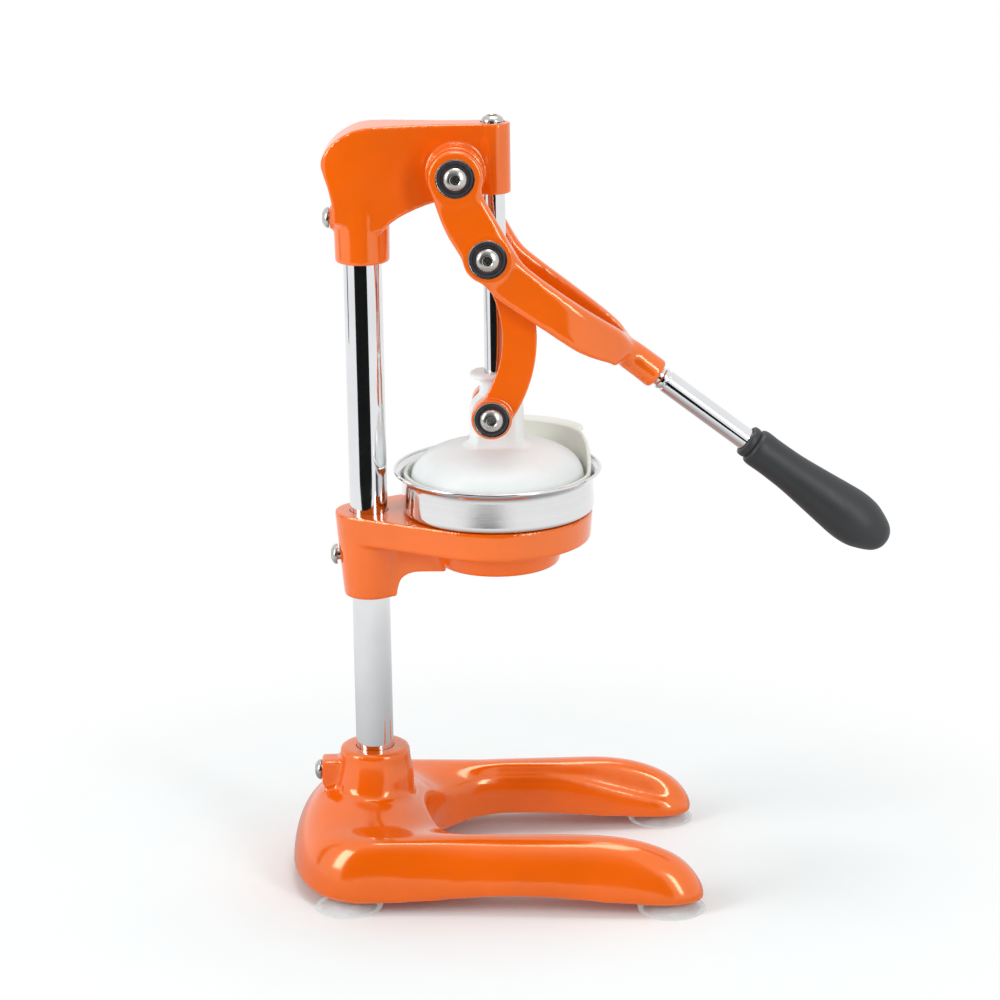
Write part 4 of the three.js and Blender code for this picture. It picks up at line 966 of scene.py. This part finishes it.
def cloudy_tone_group():
    """Two tones of one colour, drifting softly over the surface."""
    tree, given, out = new_group(
        "cloudy_tone",
        [("Deep", COLOUR, WHITE), ("Light", COLOUR, WHITE), ("Scale", FLOAT, 30.0)],
        [("Colour", COLOUR)],
    )
    cloud = noise(tree, Scale=given["Scale"], Detail=3.0, Roughness=0.55)
    spread = add_node(tree, "ShaderNodeMapRange", {"Value": cloud, "From Min": 0.35, "From Max": 0.65})
    tone = add_node(tree, "ShaderNodeMix", {
        "Factor": spread.outputs["Result"], "A": given["Deep"], "B": given["Light"]}, data_type="RGBA")
    tree.links.new(tone.outputs["Result"], out["Colour"])
    return tree


def edge_mask_group():
    """A mask that is strong on raised edges, broken up as real rubbing is."""
    tree, given, out = new_group(
        "edge_mask", [("Start", FLOAT, 0.52), ("End", FLOAT, 0.6), ("Scale", FLOAT, 120.0)],
        [("Mask", FLOAT)],
    )
    shape = add_node(tree, "ShaderNodeNewGeometry")
    edge = add_node(tree, "ShaderNodeMapRange", {
        "Value": shape.outputs["Pointiness"], "From Min": given["Start"], "From Max": given["End"]})
    broken = noise(tree, Scale=given["Scale"], Detail=4.0)
    grit = add_node(tree, "ShaderNodeMapRange", {"Value": broken, "From Min": 0.3, "From Max": 0.6})
    both = add_node(tree, "ShaderNodeMath", {0: edge.outputs["Result"], 1: grit.outputs["Result"]},
                    operation="MULTIPLY")
    tree.links.new(both.outputs["Value"], out["Mask"])
    return tree


def handled_gloss_group():
    """Roughness that wanders between two values where hands and cloths have been."""
    tree, given, out = new_group(
        "handled_gloss", [("Low", FLOAT, 0.1), ("High", FLOAT, 0.3), ("Scale", FLOAT, 25.0)],
        [("Roughness", FLOAT)],
    )
    broad = noise(tree, Scale=given["Scale"], Detail=6.0, Roughness=0.65, Distortion=0.6)
    value = add_node(tree, "ShaderNodeMapRange", {
        "Value": broad, "From Min": 0.32, "From Max": 0.7,
        "To Min": given["Low"], "To Max": given["High"]})
    tree.links.new(value.outputs["Result"], out["Roughness"])
    return tree


def fine_grain_group():
    """A normal raised by fine grain laid over a slow waviness."""
    tree, given, out = new_group(
        "fine_grain",
        [("Grain", FLOAT, 900.0), ("Wave", FLOAT, 60.0), ("Grain Depth", FLOAT, 0.00002),
         ("Wave Depth", FLOAT, 0.0001)],
        [("Normal", VECTOR)],
    )
    slow = noise(tree, Scale=given["Wave"], Detail=1.0)
    fine = noise(tree, Scale=given["Grain"], Detail=3.0)
    under = add_node(tree, "ShaderNodeBump", {
        "Height": slow, "Distance": given["Wave Depth"], "Strength": 1.0})
    over = add_node(tree, "ShaderNodeBump", {
        "Height": fine, "Distance": given["Grain Depth"], "Strength": 1.0,
        "Normal": under.outputs["Normal"]})
    tree.links.new(over.outputs["Normal"], out["Normal"])
    return tree


def turned_lines_group():
    """Rings left by spinning or turning about an upright axis, from radius and height alone."""
    tree, given, out = new_group(
        "turned_lines",
        [("Axis", VECTOR, (0.0, 0.0, 0.0)), ("Scale", FLOAT, 1500.0), ("Depth", FLOAT, 0.00001)],
        [("Mask", FLOAT), ("Normal", VECTOR)],
    )
    place = add_node(tree, "ShaderNodeTexCoord")
    centred = add_node(tree, "ShaderNodeVectorMath", {0: place.outputs["Object"], 1: given["Axis"]},
                       operation="SUBTRACT")
    flat = add_node(tree, "ShaderNodeVectorMath", {0: centred.outputs["Vector"], 1: (1.0, 1.0, 0.0)},
                    operation="MULTIPLY")
    radius = add_node(tree, "ShaderNodeVectorMath", {0: flat.outputs["Vector"]}, operation="LENGTH")
    parts = add_node(tree, "ShaderNodeSeparateXYZ", {"Vector": centred.outputs["Vector"]})
    section = add_node(tree, "ShaderNodeCombineXYZ", {
        "X": radius.outputs["Value"], "Z": parts.outputs["Z"]})
    rings = add_node(tree, "ShaderNodeTexNoise", {
        "Vector": section.outputs["Vector"], "Scale": given["Scale"], "Detail": 4.0, "Roughness": 0.7})
    bump = add_node(tree, "ShaderNodeBump", {
        "Height": rings.outputs["Fac"], "Distance": given["Depth"], "Strength": 1.0})
    tree.links.new(rings.outputs["Fac"], out["Mask"])
    tree.links.new(bump.outputs["Normal"], out["Normal"])
    return tree


def group_node(tree, name, inputs):
    makers = {
        "cloudy_tone": cloudy_tone_group, "edge_mask": edge_mask_group,
        "handled_gloss": handled_gloss_group, "fine_grain": fine_grain_group,
        "turned_lines": turned_lines_group,
    }
    made = tree.nodes.new("ShaderNodeGroup")
    made.node_tree = bpy.data.node_groups.get(name) or makers[name]()
    return plugged(tree, made, inputs)


def opaque(colour, level=1.0):
    return tuple(channel * level for channel in colour) + (1.0,)


def new_material(name):
    material = bpy.data.materials.new(name)
    material.use_nodes = True
    return material, material.node_tree, material.node_tree.nodes["Principled BSDF"]


def cast_enamel(colours):
    """Gloss enamel over a casting: broad tone drift, thinner on edges, slight orange peel."""
    material, tree, shader = new_material("gloss_orange_enamel")
    tone = group_node(tree, "cloudy_tone", {
        "Deep": opaque(colours.enamel, 0.9), "Light": opaque(colours.enamel), "Scale": 22.0})
    edges = group_node(tree, "edge_mask", {"Start": 0.53, "End": 0.62, "Scale": 160.0})
    share = add_node(tree, "ShaderNodeMath", {0: edges.outputs["Mask"], 1: 0.35}, operation="MULTIPLY")
    thin = add_node(tree, "ShaderNodeMix", {
        "Factor": share.outputs["Value"], "A": tone.outputs["Colour"],
        "B": opaque(colours.enamel_edge)}, data_type="RGBA")
    gloss = group_node(tree, "handled_gloss", {"Low": 0.12, "High": 0.2, "Scale": 30.0})
    peel = group_node(tree, "fine_grain", {
        "Grain": 700.0, "Wave": 90.0, "Grain Depth": 0.000012, "Wave Depth": 0.00012})
    plugged(tree, shader, {
        "Base Color": thin.outputs["Result"], "Roughness": gloss.outputs["Roughness"],
        "Normal": peel.outputs["Normal"], "Specular IOR Level": 1.0,
        "Specular Tint": (1.0, 1.0, 0.62, 1.0), "Coat Weight": 0.25, "Coat Roughness": 0.07})
    return material


def metal(name, colour, low, high, scale, grain=None, lines=None):
    """A bare or plated metal: faint tone drift, wandering gloss and fine marks."""
    material, tree, shader = new_material(name)
    tone = group_node(tree, "cloudy_tone", {
        "Deep": opaque(colour, 0.93), "Light": opaque(colour), "Scale": scale})
    gloss = group_node(tree, "handled_gloss", {"Low": low, "High": high, "Scale": scale * 2})
    colour_out, rough_out = tone.outputs["Colour"], gloss.outputs["Roughness"]
    if lines:
        marks = group_node(tree, "turned_lines", lines)
        streak = add_node(tree, "ShaderNodeMapRange", {
            "Value": marks.outputs["Mask"], "From Min": 0.3, "From Max": 0.7, "To Min": 0.86,
            "To Max": 1.0})
        shade = add_node(tree, "ShaderNodeMix", {"Factor": 1.0, "A": colour_out,
                         "B": streak.outputs["Result"]}, data_type="RGBA", blend_type="MULTIPLY")
        colour_out = shade.outputs["Result"]
        coarse = add_node(tree, "ShaderNodeMath", {0: marks.outputs["Mask"], 1: 0.05, 2: rough_out},
                          operation="MULTIPLY_ADD")
        rough_out = coarse.outputs["Value"]
        normal = marks.outputs["Normal"]
    else:
        normal = group_node(tree, "fine_grain", grain).outputs["Normal"]
    plugged(tree, shader, {
        "Base Color": colour_out, "Roughness": rough_out, "Normal": normal, "Metallic": 1.0})
    return material


def plastic(name, colour, low, high, grain, edge_light=1.0, soft=0.0):
    """A moulded plastic: slight tone drift, rubbed edges and a moulded grain."""
    material, tree, shader = new_material(name)
    tone = group_node(tree, "cloudy_tone", {
        "Deep": opaque(colour, 0.95), "Light": opaque(colour), "Scale": 45.0})
    edges = group_node(tree, "edge_mask", {"Start": 0.52, "End": 0.6, "Scale": 300.0})
    rubbed = add_node(tree, "ShaderNodeMix", {
        "Factor": edges.outputs["Mask"], "A": tone.outputs["Colour"],
        "B": opaque(colour, edge_light)}, data_type="RGBA")
    gloss = group_node(tree, "handled_gloss", {"Low": low, "High": high, "Scale": 60.0})
    surface = group_node(tree, "fine_grain", grain)
    plugged(tree, shader, {
        "Base Color": rubbed.outputs["Result"], "Roughness": gloss.outputs["Roughness"],
        "Normal": surface.outputs["Normal"]})
    if soft:
        plugged(tree, shader, {
            "Subsurface Weight": soft, "Subsurface Scale": 0.004, "Subsurface Radius": (1.0, 0.8, 0.6)})
    return material


def clear_vinyl(colours):
    """Clear soft vinyl: a pale haze that lets what is under it show."""
    material, tree, shader = new_material("clear_vinyl")
    tone = group_node(tree, "cloudy_tone", {
        "Deep": opaque(colours.vinyl, 0.94), "Light": opaque(colours.vinyl), "Scale": 60.0})
    gloss = group_node(tree, "handled_gloss", {"Low": 0.12, "High": 0.28, "Scale": 90.0})
    surface = group_node(tree, "fine_grain", {
        "Grain": 1200.0, "Wave": 200.0, "Grain Depth": 0.00001, "Wave Depth": 0.0001})
    haze = noise(tree, Scale=110.0, Detail=3.0)
    cover = add_node(tree, "ShaderNodeMapRange", {
        "Value": haze, "From Min": 0.3, "From Max": 0.7, "To Min": 0.3, "To Max": 0.42})
    plugged(tree, shader, {
        "Base Color": tone.outputs["Colour"], "Roughness": gloss.outputs["Roughness"],
        "Normal": surface.outputs["Normal"], "Alpha": cover.outputs["Result"]})
    return material


def finish(slot):
    """The material for a slot of the record, made the first time it is asked for."""
    if slot in finishes:
        return finishes[slot]
    colours = bpy.context.scene.press_colours
    smooth = {"Grain": 2500.0, "Wave": 150.0, "Grain Depth": 0.0000012, "Wave Depth": 0.000012}
    if slot == "orange_enamel":
        made = cast_enamel(colours)
    elif slot == "chrome_plate":
        made = metal("mirror_chrome", colours.chrome, 0.03, 0.085, 30.0, grain=smooth)
    elif slot == "spun_steel":
        made = metal("spun_steel", colours.steel, 0.06, 0.1, 20.0, lines={
            "Axis": spot(PRESS_X, 0, 0), "Scale": 3500.0, "Depth": 0.000007})
    elif slot == "bright_screws":
        made = metal("bright_plate", colours.screws, 0.18, 0.3, 160.0, grain=smooth)
    elif slot == "ivory_plastic":
        made = plastic("satin_ivory_plastic", colours.ivory, 0.34, 0.46, {
            "Grain": 1500.0, "Wave": 120.0, "Grain Depth": 0.000008, "Wave Depth": 0.00008}, 1.04, 0.12)
    elif slot == "white_plastic":
        made = plastic("satin_white_plastic", colours.white, 0.36, 0.5, {
            "Grain": 1800.0, "Wave": 90.0, "Grain Depth": 0.000008, "Wave Depth": 0.00006}, 1.02, 0.12)
    elif slot == "bush_plastic":
        made = plastic("dark_bush_plastic", colours.bushes, 0.32, 0.48, {
            "Grain": 2600.0, "Wave": 300.0, "Grain Depth": 0.000012, "Wave Depth": 0.00002}, 2.4)
    elif slot == "grip_plastic":
        made = plastic("matte_black_grip", colours.grip, 0.42, 0.56, {
            "Grain": 1900.0, "Wave": 300.0, "Grain Depth": 0.000012, "Wave Depth": 0.00002}, 1.25)
    elif slot == "clear_rubber":
        made = clear_vinyl(colours)
    else:
        raise RuntimeError(f"no finish is known for the slot {slot}")
    finishes[slot] = made
    return made


finishes = {}


# What a user may change

def length(name, description, millimetres):
    return bpy.props.FloatProperty(
        name=name, description=description, default=millimetres * MM, min=0.0001, precision=5,
        unit="LENGTH", subtype="DISTANCE")


def colour(name, description, rgb):
    return bpy.props.FloatVectorProperty(
        name=name, description=description, default=rgb, size=3, min=0.0, max=1.0, subtype="COLOR")


class PressSizes(bpy.types.PropertyGroup):
    base_grain: length("Base grain", "Mesh cell of the horseshoe base", 1.3)
    bracket_grain: length("Bracket grain", "Mesh cell of the bowl bracket", 0.85)
    head_grain: length("Head grain", "Mesh cell of the head casting", 0.8)
    fork_grain: length("Fork grain", "Mesh cell of the lever's fork", 0.8)
    link_grain: length("Link grain", "Mesh cell of the two links", 0.55)
    rim_bead: length("Rim bead", "Radius of the bead rolled on the bowl's rim", 0.85)
    screw_head: length("Pivot screw head", "Radius of a pivot screw's head", 5.9)
    set_screw_head: length("Set screw head", "Radius of a set screw's head", 5.3)
    reamer_ribs: bpy.props.IntProperty(
        name="Reamer ribs", description="Ribs round the reamer's cone", default=12, min=4, max=24)


class PressColours(bpy.types.PropertyGroup):
    enamel: colour("Enamel", "Enamel on the castings", (0.91, 0.128, 0.0))
    enamel_edge: colour("Enamel edge", "Enamel where it lies thin on edges", (0.93, 0.19, 0.02))
    chrome: colour("Chrome", "Plating on the pillar and rods", (0.8, 0.81, 0.83))
    steel: colour("Bowl steel", "Spun sheet of the bowl", (0.84, 0.84, 0.85))
    screws: colour("Screws", "Plating on screws and axle", (0.56, 0.55, 0.52))
    # strainer and cup: painted cool tints that cancel the orange light bounced from the enamel
    ivory: colour("Strainer", "Plastic of the strainer", (0.84, 0.9, 0.83))
    white: colour("Cup", "Plastic of the press cup", (0.86, 0.91, 0.91))
    bushes: colour("Bushes", "Plastic of the pivot bushes", (0.028, 0.025, 0.03))
    grip: colour("Grip", "Plastic of the handle grip", (0.022, 0.025, 0.028))
    vinyl: colour("Feet", "Vinyl of the suction feet", (0.9, 0.93, 0.94))


class PressStage(bpy.types.PropertyGroup):
    lamp_level: bpy.props.FloatProperty(
        name="Lamp level", description="Scales every lamp", default=1.0, min=0.0)
    room_level: bpy.props.FloatProperty(
        name="Room level", description="Light from the white room", default=0.5, min=0.0)
    floor_radius: length("Floor radius", "Radius of the white floor", 8000)
    # floor tone: a painted cool tint that cancels the orange light bounced from the enamel
    floor_tone: colour("Floor tone", "Colour of the floor near the press", (0.91, 0.955, 0.96))


# One step of the work for each piece or group of like pieces

class PressStep:
    """Shared by the steps: reach the settings and dress finished pieces."""

    bl_options = {"REGISTER", "UNDO"}

    @property
    def sizes(self):
        return bpy.context.scene.press_sizes

    def execute(self, context):
        self.make()
        return {"FINISHED"}

    def put(self, obj, node, slot):
        return dressed(obj, node, finish(slot))

    def add(self, obj, name, beside, slot):
        """A piece that no node stands for, riding with the node beside it."""
        finished(obj, name, finish(slot))
        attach(obj, frame["nodes"][beside]["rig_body"])


class PRESS_OT_base(PressStep, bpy.types.Operator):
    """Cast horseshoe base with its pillar boss and screw lug"""

    bl_idname = "press.base"
    bl_label = "Base casting"

    def make(self):
        self.put(make_base(self.sizes.base_grain / MM), "base_casting", "orange_enamel")


class PRESS_OT_feet(PressStep, bpy.types.Operator):
    """Four clear suction feet"""

    bl_idname = "press.feet"
    bl_label = "Suction feet"

    def make(self):
        foot = soft_shaded(make_foot(), 50)
        for word, (x, y) in FOOT_SPOTS.items():
            self.put(copied(foot, "foot", place=spot(x, y, 0)), "suction_foot_" + word, "clear_rubber")
        bpy.data.objects.remove(foot)


class PRESS_OT_rods(PressStep, bpy.types.Operator):
    """Chromed pillar and plunger"""

    bl_idname = "press.rods"
    bl_label = "Pillar and plunger"

    def make(self):
        self.put(make_pillar(), "pillar_tube", "chrome_plate")
        self.put(make_plunger(), "plunger_rod", "chrome_plate")


class PRESS_OT_bracket(PressStep, bpy.types.Operator):
    """Cast bracket that carries the bowl"""

    bl_idname = "press.bracket"
    bl_label = "Bowl bracket"

    def make(self):
        self.put(make_bracket(self.sizes.bracket_grain / MM), "bowl_bracket", "orange_enamel")


class PRESS_OT_head(PressStep, bpy.types.Operator):
    """Cast head on top of the pillar"""

    bl_idname = "press.head"
    bl_label = "Head casting"

    def make(self):
        self.put(make_head(self.sizes.head_grain / MM), "head_casting", "orange_enamel")


class PRESS_OT_fork(PressStep, bpy.types.Operator):
    """Cast fork of the lever"""

    bl_idname = "press.fork"
    bl_label = "Lever fork"

    def make(self):
        self.put(make_fork(self.sizes.fork_grain / MM), "fork_casting", "orange_enamel")


class PRESS_OT_links(PressStep, bpy.types.Operator):
    """The two bowed links"""

    bl_idname = "press.links"
    bl_label = "Links"

    def make(self):
        far = make_link(self.sizes.link_grain / MM)
        near = copied(far, "link_near_side", Matrix.Scale(-1, 4, (0, 1, 0)))
        edit(near)
        bpy.ops.mesh.normals_make_consistent(inside=False)
        done()
        self.put(far, "link_far", "orange_enamel")
        self.put(near, "link_near", "orange_enamel")


class PRESS_OT_handle(PressStep, bpy.types.Operator):
    """Chromed handle rod and its moulded grip"""

    bl_idname = "press.handle"
    bl_label = "Handle"

    def make(self):
        self.put(make_handle_rod(), "handle_rod", "chrome_plate")
        self.put(make_grip(), "handle_grip", "grip_plastic")


class PRESS_OT_bowl(PressStep, bpy.types.Operator):
    """Spun steel juice bowl"""

    bl_idname = "press.bowl"
    bl_label = "Juice bowl"

    def make(self):
        self.put(make_bowl(self.sizes.rim_bead / MM), "juice_bowl", "spun_steel")


class PRESS_OT_strainer(PressStep, bpy.types.Operator):
    """Plastic strainer with its reamer"""

    bl_idname = "press.strainer"
    bl_label = "Strainer"

    def make(self):
        self.put(make_strainer(self.sizes.reamer_ribs), "strainer_reamer", "ivory_plastic")


class PRESS_OT_cup(PressStep, bpy.types.Operator):
    """Press cup and the axle through its hub"""

    bl_idname = "press.cup"
    bl_label = "Press cup"

    def make(self):
        self.put(make_cup(), "press_cup", "white_plastic")
        self.put(make_axle(), "cross_axle", "bright_screws")


class PRESS_OT_bushes(PressStep, bpy.types.Operator):
    """Six pivot bushes"""

    bl_idname = "press.bushes"
    bl_label = "Pivot bushes"

    def make(self):
        wide = make_bush(9.5, PRONG_IN, PRONG_OUT)
        small = make_bush(8.9, LINK_IN, LOWER_FACE)
        for word, bush, (x, z) in (
            ("upper", wide, UPPER), ("middle", wide, MIDDLE), ("lower", small, LOWER)
        ):
            for side, turn in (("near", NEARWARD), ("far", FARWARD)):
                node = f"{word}_pivot_bush_{side}"
                self.put(copied(bush, "bush", turn, spot(x, 0, z)), node, "bush_plastic")
                ring_radius = (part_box(node)[1].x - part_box(node)[0].x) / 2 / MM
                face = max(abs(corner.y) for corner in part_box(node)) / MM
                # a thin bright metal ring round each bush: painted highlight of the bore's edge
                self.add(turned_to(make_bore_highlight_ring(ring_radius, face), turn, spot(x, 0, z)),
                         f"{word}_bore_highlight_ring_{side}", node, "bright_screws")
        bpy.data.objects.remove(wide)
        bpy.data.objects.remove(small)


class PRESS_OT_screws(PressStep, bpy.types.Operator):
    """Pivot screws, set screws and the plunger's top screw"""

    bl_idname = "press.screws"
    bl_label = "Screws"

    def make(self):
        head = self.sizes.screw_head / MM
        for word, (x, z), seat, tip in (
            ("upper", UPPER, PRONG_OUT + SEAT_GAP, 10.5),
            ("middle", MIDDLE, PRONG_OUT + SEAT_GAP, PRONG_IN),
            ("lower", LOWER, LOWER_FACE + SEAT_GAP, 2.2),
        ):
            screw = make_screw(head, seat - tip)
            for side, turn, way in (("near", NEARWARD, -1), ("far", FARWARD, 1)):
                self.put(copied(screw, "screw", turn, spot(x, way * seat, z)),
                         f"{word}_pivot_screw_{side}", "bright_screws")
            bpy.data.objects.remove(screw)
        for node, x, z in (
            ("base_set_screw", -28, 54), ("bracket_set_screw", -16.4, 172.2),
            ("head_set_screw", -15.8, 347.8),
        ):
            screw = make_screw(self.sizes.set_screw_head / MM, -x - PILLAR_RADIUS)
            self.put(turned_to(screw, BACKWARD, spot(x - SEAT_GAP, 0, z)), node, "bright_screws")
        top = make_screw(5.55, 12)
        self.put(turned_to(top, UPRIGHT, spot(PRESS_X, 0, 395.1)), "plunger_top_screw", "bright_screws")


# Stage

def white_for_rays(tree, kind, mirrored_painted_shade):
    """Plain white for the rays that see a background, dimmer for those that come off a gloss by the
    given level, which on the floor is a painted shade.
    """
    rays = add_node(tree, "ShaderNodeLightPath")
    seen = add_node(tree, "ShaderNodeMath", {
        0: rays.outputs["Is Camera Ray"], 1: rays.outputs["Is Glossy Ray"]}, operation="MAXIMUM")
    seen = add_node(tree, "ShaderNodeMath", {
        0: seen.outputs["Value"], 1: rays.outputs["Is Transmission Ray"]}, operation="MAXIMUM")
    level = add_node(tree, "ShaderNodeMapRange", {
        "Value": rays.outputs["Is Glossy Ray"], "To Min": 1.0, "To Max": mirrored_painted_shade})
    white = add_node(tree, kind, {"Color": WHITE, "Strength": level.outputs["Result"]})
    return seen.outputs["Value"], white.outputs[0]


def make_floor(stage):
    """A wide white floor: it takes the press's shadow nearby and is plain white farther off. Mirrors
    see it as a white glow with a painted shade, dimmer near the press.
    """
    bpy.ops.object.select_all(action="DESELECT")
    bpy.ops.mesh.primitive_circle_add(vertices=96, radius=stage.floor_radius, fill_type="NGON")
    floor = bpy.context.object
    floor.name = "white_floor"
    material, tree, shader = new_material("white_floor")
    place = add_node(tree, "ShaderNodeTexCoord")
    centre = middle_of("base_casting")
    off = add_node(tree, "ShaderNodeVectorMath", {
        0: place.outputs["Object"], 1: (centre.x, centre.y, 0)}, operation="SUBTRACT")
    far = add_node(tree, "ShaderNodeVectorMath", {0: off.outputs["Vector"]}, operation="LENGTH")
    away = add_node(tree, "ShaderNodeMapRange", {
        "Value": far.outputs["Value"], "From Min": 0.15, "From Max": 0.36},
        interpolation_type="SMOOTHSTEP")
    # painted shade: mirrors see the floor dimmer near the press, 0.42 of white close in, full white
    # from 0.45 m
    mirrored_painted_shade = add_node(tree, "ShaderNodeMapRange", {
        "Value": far.outputs["Value"], "From Min": 0.1, "From Max": 0.45, "To Min": 0.42,
        "To Max": 1.0})
    tone = add_node(tree, "ShaderNodeMapRange", {
        "Value": noise(tree, Scale=40.0, Detail=2.0), "To Min": 0.985, "To Max": 1.0})
    # the floor's colour carries the painted cool tint against the orange bounce light
    shade = add_node(tree, "ShaderNodeMix", {
        "Factor": 1.0, "A": opaque(stage.floor_tone), "B": tone.outputs["Result"]},
        data_type="RGBA", blend_type="MULTIPLY")
    plugged(tree, shader, {
        "Base Color": shade.outputs["Result"], "Roughness": 0.9, "Specular IOR Level": 0.0})
    seen, white = white_for_rays(tree, "ShaderNodeEmission", mirrored_painted_shade.outputs["Result"])
    both = add_node(tree, "ShaderNodeMath", {0: seen, 1: away.outputs["Result"]}, operation="MULTIPLY")
    # mirrors always see the glowing floor with its painted shade, not its lit surface
    both = add_node(tree, "ShaderNodeMath", {
        0: both.outputs["Value"], 1: add_node(tree, "ShaderNodeLightPath").outputs["Is Glossy Ray"]},
        operation="MAXIMUM")
    blend = add_node(tree, "ShaderNodeMixShader", {
        0: both.outputs["Value"], 1: shader.outputs["BSDF"], 2: white})
    tree.links.new(blend.outputs["Shader"], tree.nodes["Material Output"].inputs["Surface"])
    floor.data.materials.append(material)


def make_room(stage):
    """A white room round the press, dimmer as a lamp than as a background."""
    world = bpy.data.worlds.new("white_room")
    bpy.context.scene.world = world
    world.use_nodes = True
    world.cycles.sampling_method = "NONE"
    tree = world.node_tree
    lamp = tree.nodes["Background"]
    lamp.inputs["Color"].default_value = WHITE
    lamp.inputs["Strength"].default_value = stage.room_level
    seen, white = white_for_rays(tree, "ShaderNodeBackground", 1.0)
    blend = add_node(tree, "ShaderNodeMixShader", {0: seen, 1: lamp.outputs["Background"], 2: white})
    tree.links.new(blend.outputs["Shader"], tree.nodes["World Output"].inputs["Surface"])


def aimed(place, target):
    """A rotation that points local -Z from a place to a target."""
    return (Vector(target) - Vector(place)).to_track_quat("-Z", "Y")


def softbox(name, place, target, width, height, power):
    light = bpy.data.lights.new(name, "AREA")
    light.shape = "RECTANGLE"
    light.size, light.size_y, light.energy = width, height, power
    lamp = bpy.data.objects.new(name, light)
    bpy.context.scene.collection.objects.link(lamp)
    lamp.rotation_mode = "QUATERNION"
    lamp.location, lamp.rotation_quaternion = place, aimed(place, target)
    return lamp


def dark_card(name, azimuth, distance, width, low, high):
    """A black card that only mirrors see, at an azimuth in degrees from the view, right positive."""
    turn = math.radians(azimuth)
    x, y = PILLAR_X + distance * math.sin(turn), -distance * math.cos(turn)
    bpy.ops.object.select_all(action="DESELECT")
    bpy.ops.mesh.primitive_plane_add(size=1, location=(x, y, (low + high) / 2),
                                     rotation=(math.pi / 2, 0, turn))
    card = bpy.context.object
    card.name = name
    card.scale = (width, high - low, 1)
    bpy.ops.object.transform_apply(location=True, rotation=True, scale=True)
    card.visible_camera = card.visible_diffuse = card.visible_shadow = False
    card.visible_transmission = card.visible_volume_scatter = False
    material = bpy.data.materials.get("black_card")
    if not material:
        material, tree, shader = new_material("black_card")
        place = add_node(tree, "ShaderNodeTexCoord")
        tone = add_node(tree, "ShaderNodeMapRange", {
            "Value": noise(tree, Scale=8.0), "To Min": 0.008, "To Max": 0.02})
        height = add_node(tree, "ShaderNodeSeparateXYZ", {"Vector": place.outputs["Object"]})
        paler = add_node(tree, "ShaderNodeMapRange", {
            "Value": height.outputs["Z"], "From Min": 0.4, "From Max": 1.5, "To Max": 0.9})
        plugged(tree, shader, {
            "Base Color": tone.outputs["Result"], "Roughness": 1.0, "Specular IOR Level": 0.0,
            "Emission Color": WHITE, "Emission Strength": paler.outputs["Result"]})
    card.data.materials.append(material)


def make_camera():
    yaw, pitch, roll = math.radians(-0.199), math.radians(16.355), math.radians(-0.814)
    ahead = Vector((math.sin(yaw) * math.cos(pitch), math.cos(yaw) * math.cos(pitch), -math.sin(pitch)))
    level = Vector((math.cos(yaw), -math.sin(yaw), 0))
    above = level.cross(ahead)
    right = level * math.cos(roll) + above * math.sin(roll)
    up = above * math.cos(roll) - level * math.sin(roll)
    camera = bpy.data.objects.new("view_camera", bpy.data.cameras.new("view_camera"))
    bpy.context.scene.collection.objects.link(camera)
    camera.matrix_world = Matrix.Translation((-0.0388937, -1.577368, 0.66270)) @ Matrix(
        (right, up, -ahead)).transposed().to_4x4()
    camera.data.lens, camera.data.sensor_width = 115.66, 36
    camera.data.clip_end = 100
    bpy.context.scene.camera = camera


class PRESS_OT_stage(bpy.types.Operator):
    """White floor and room, soft lamps, dark cards for the mirrors, and the camera"""

    bl_idname = "press.stage"
    bl_label = "Stage"

    def execute(self, context):
        stage = bpy.context.scene.press_stage
        make_floor(stage)
        make_room(stage)
        level = stage.lamp_level
        softbox("left_softbox", (-1.6, -0.7, 0.9), (0, 0, 0.2), 0.6, 1.2, 15 * level)
        softbox("right_softbox", (1.0, -1.3, 0.8), (0, 0, 0.2), 0.3, 1.1, 9 * level)
        softbox("top_softbox", (0.1, 0.2, 1.8), (0, 0, 0.1), 0.8, 0.8, 10 * level)
        dark_card("front_card", -12, 0.59, 0.92, 0.0, 1.6)
        dark_card("left_card", -104, 1.2, 0.16, 0.0, 1.4)
        make_camera()
        bpy.context.scene.view_settings.view_transform = "Standard"
        return {"FINISHED"}


STEPS = (
    PRESS_OT_base, PRESS_OT_feet, PRESS_OT_rods, PRESS_OT_bracket, PRESS_OT_head, PRESS_OT_fork,
    PRESS_OT_links, PRESS_OT_handle, PRESS_OT_bowl, PRESS_OT_strainer, PRESS_OT_cup,
    PRESS_OT_bushes, PRESS_OT_screws, PRESS_OT_stage,
)


class PRESS_PT_steps(bpy.types.Panel):
    """Lists the steps and the settings"""

    bl_idname = "PRESS_PT_steps"
    bl_label = "Citrus press"
    bl_space_type = "VIEW_3D"
    bl_region_type = "UI"
    bl_category = "Citrus press"

    def draw(self, context):
        for setting, kind in SETTINGS.items():
            box = self.layout.box()
            for name in kind.__annotations__:
                box.prop(getattr(context.scene, setting), name)
        for step in STEPS:
            self.layout.operator(step.bl_idname)


SETTINGS = {"press_sizes": PressSizes, "press_colours": PressColours, "press_stage": PressStage}


def register():
    for kind in (*SETTINGS.values(), *STEPS, PRESS_PT_steps):
        bpy.utils.register_class(kind)
    for name, kind in SETTINGS.items():
        setattr(bpy.types.Scene, name, bpy.props.PointerProperty(type=kind))


def unregister():
    for name in SETTINGS:
        delattr(bpy.types.Scene, name)
    for kind in (PRESS_PT_steps, *reversed(STEPS), *SETTINGS.values()):
        bpy.utils.unregister_class(kind)


def main():
    register()
    for step in STEPS:
        group, name = step.bl_idname.split(".")
        getattr(getattr(bpy.ops, group), name)()


if __name__ == "__main__":
    main()
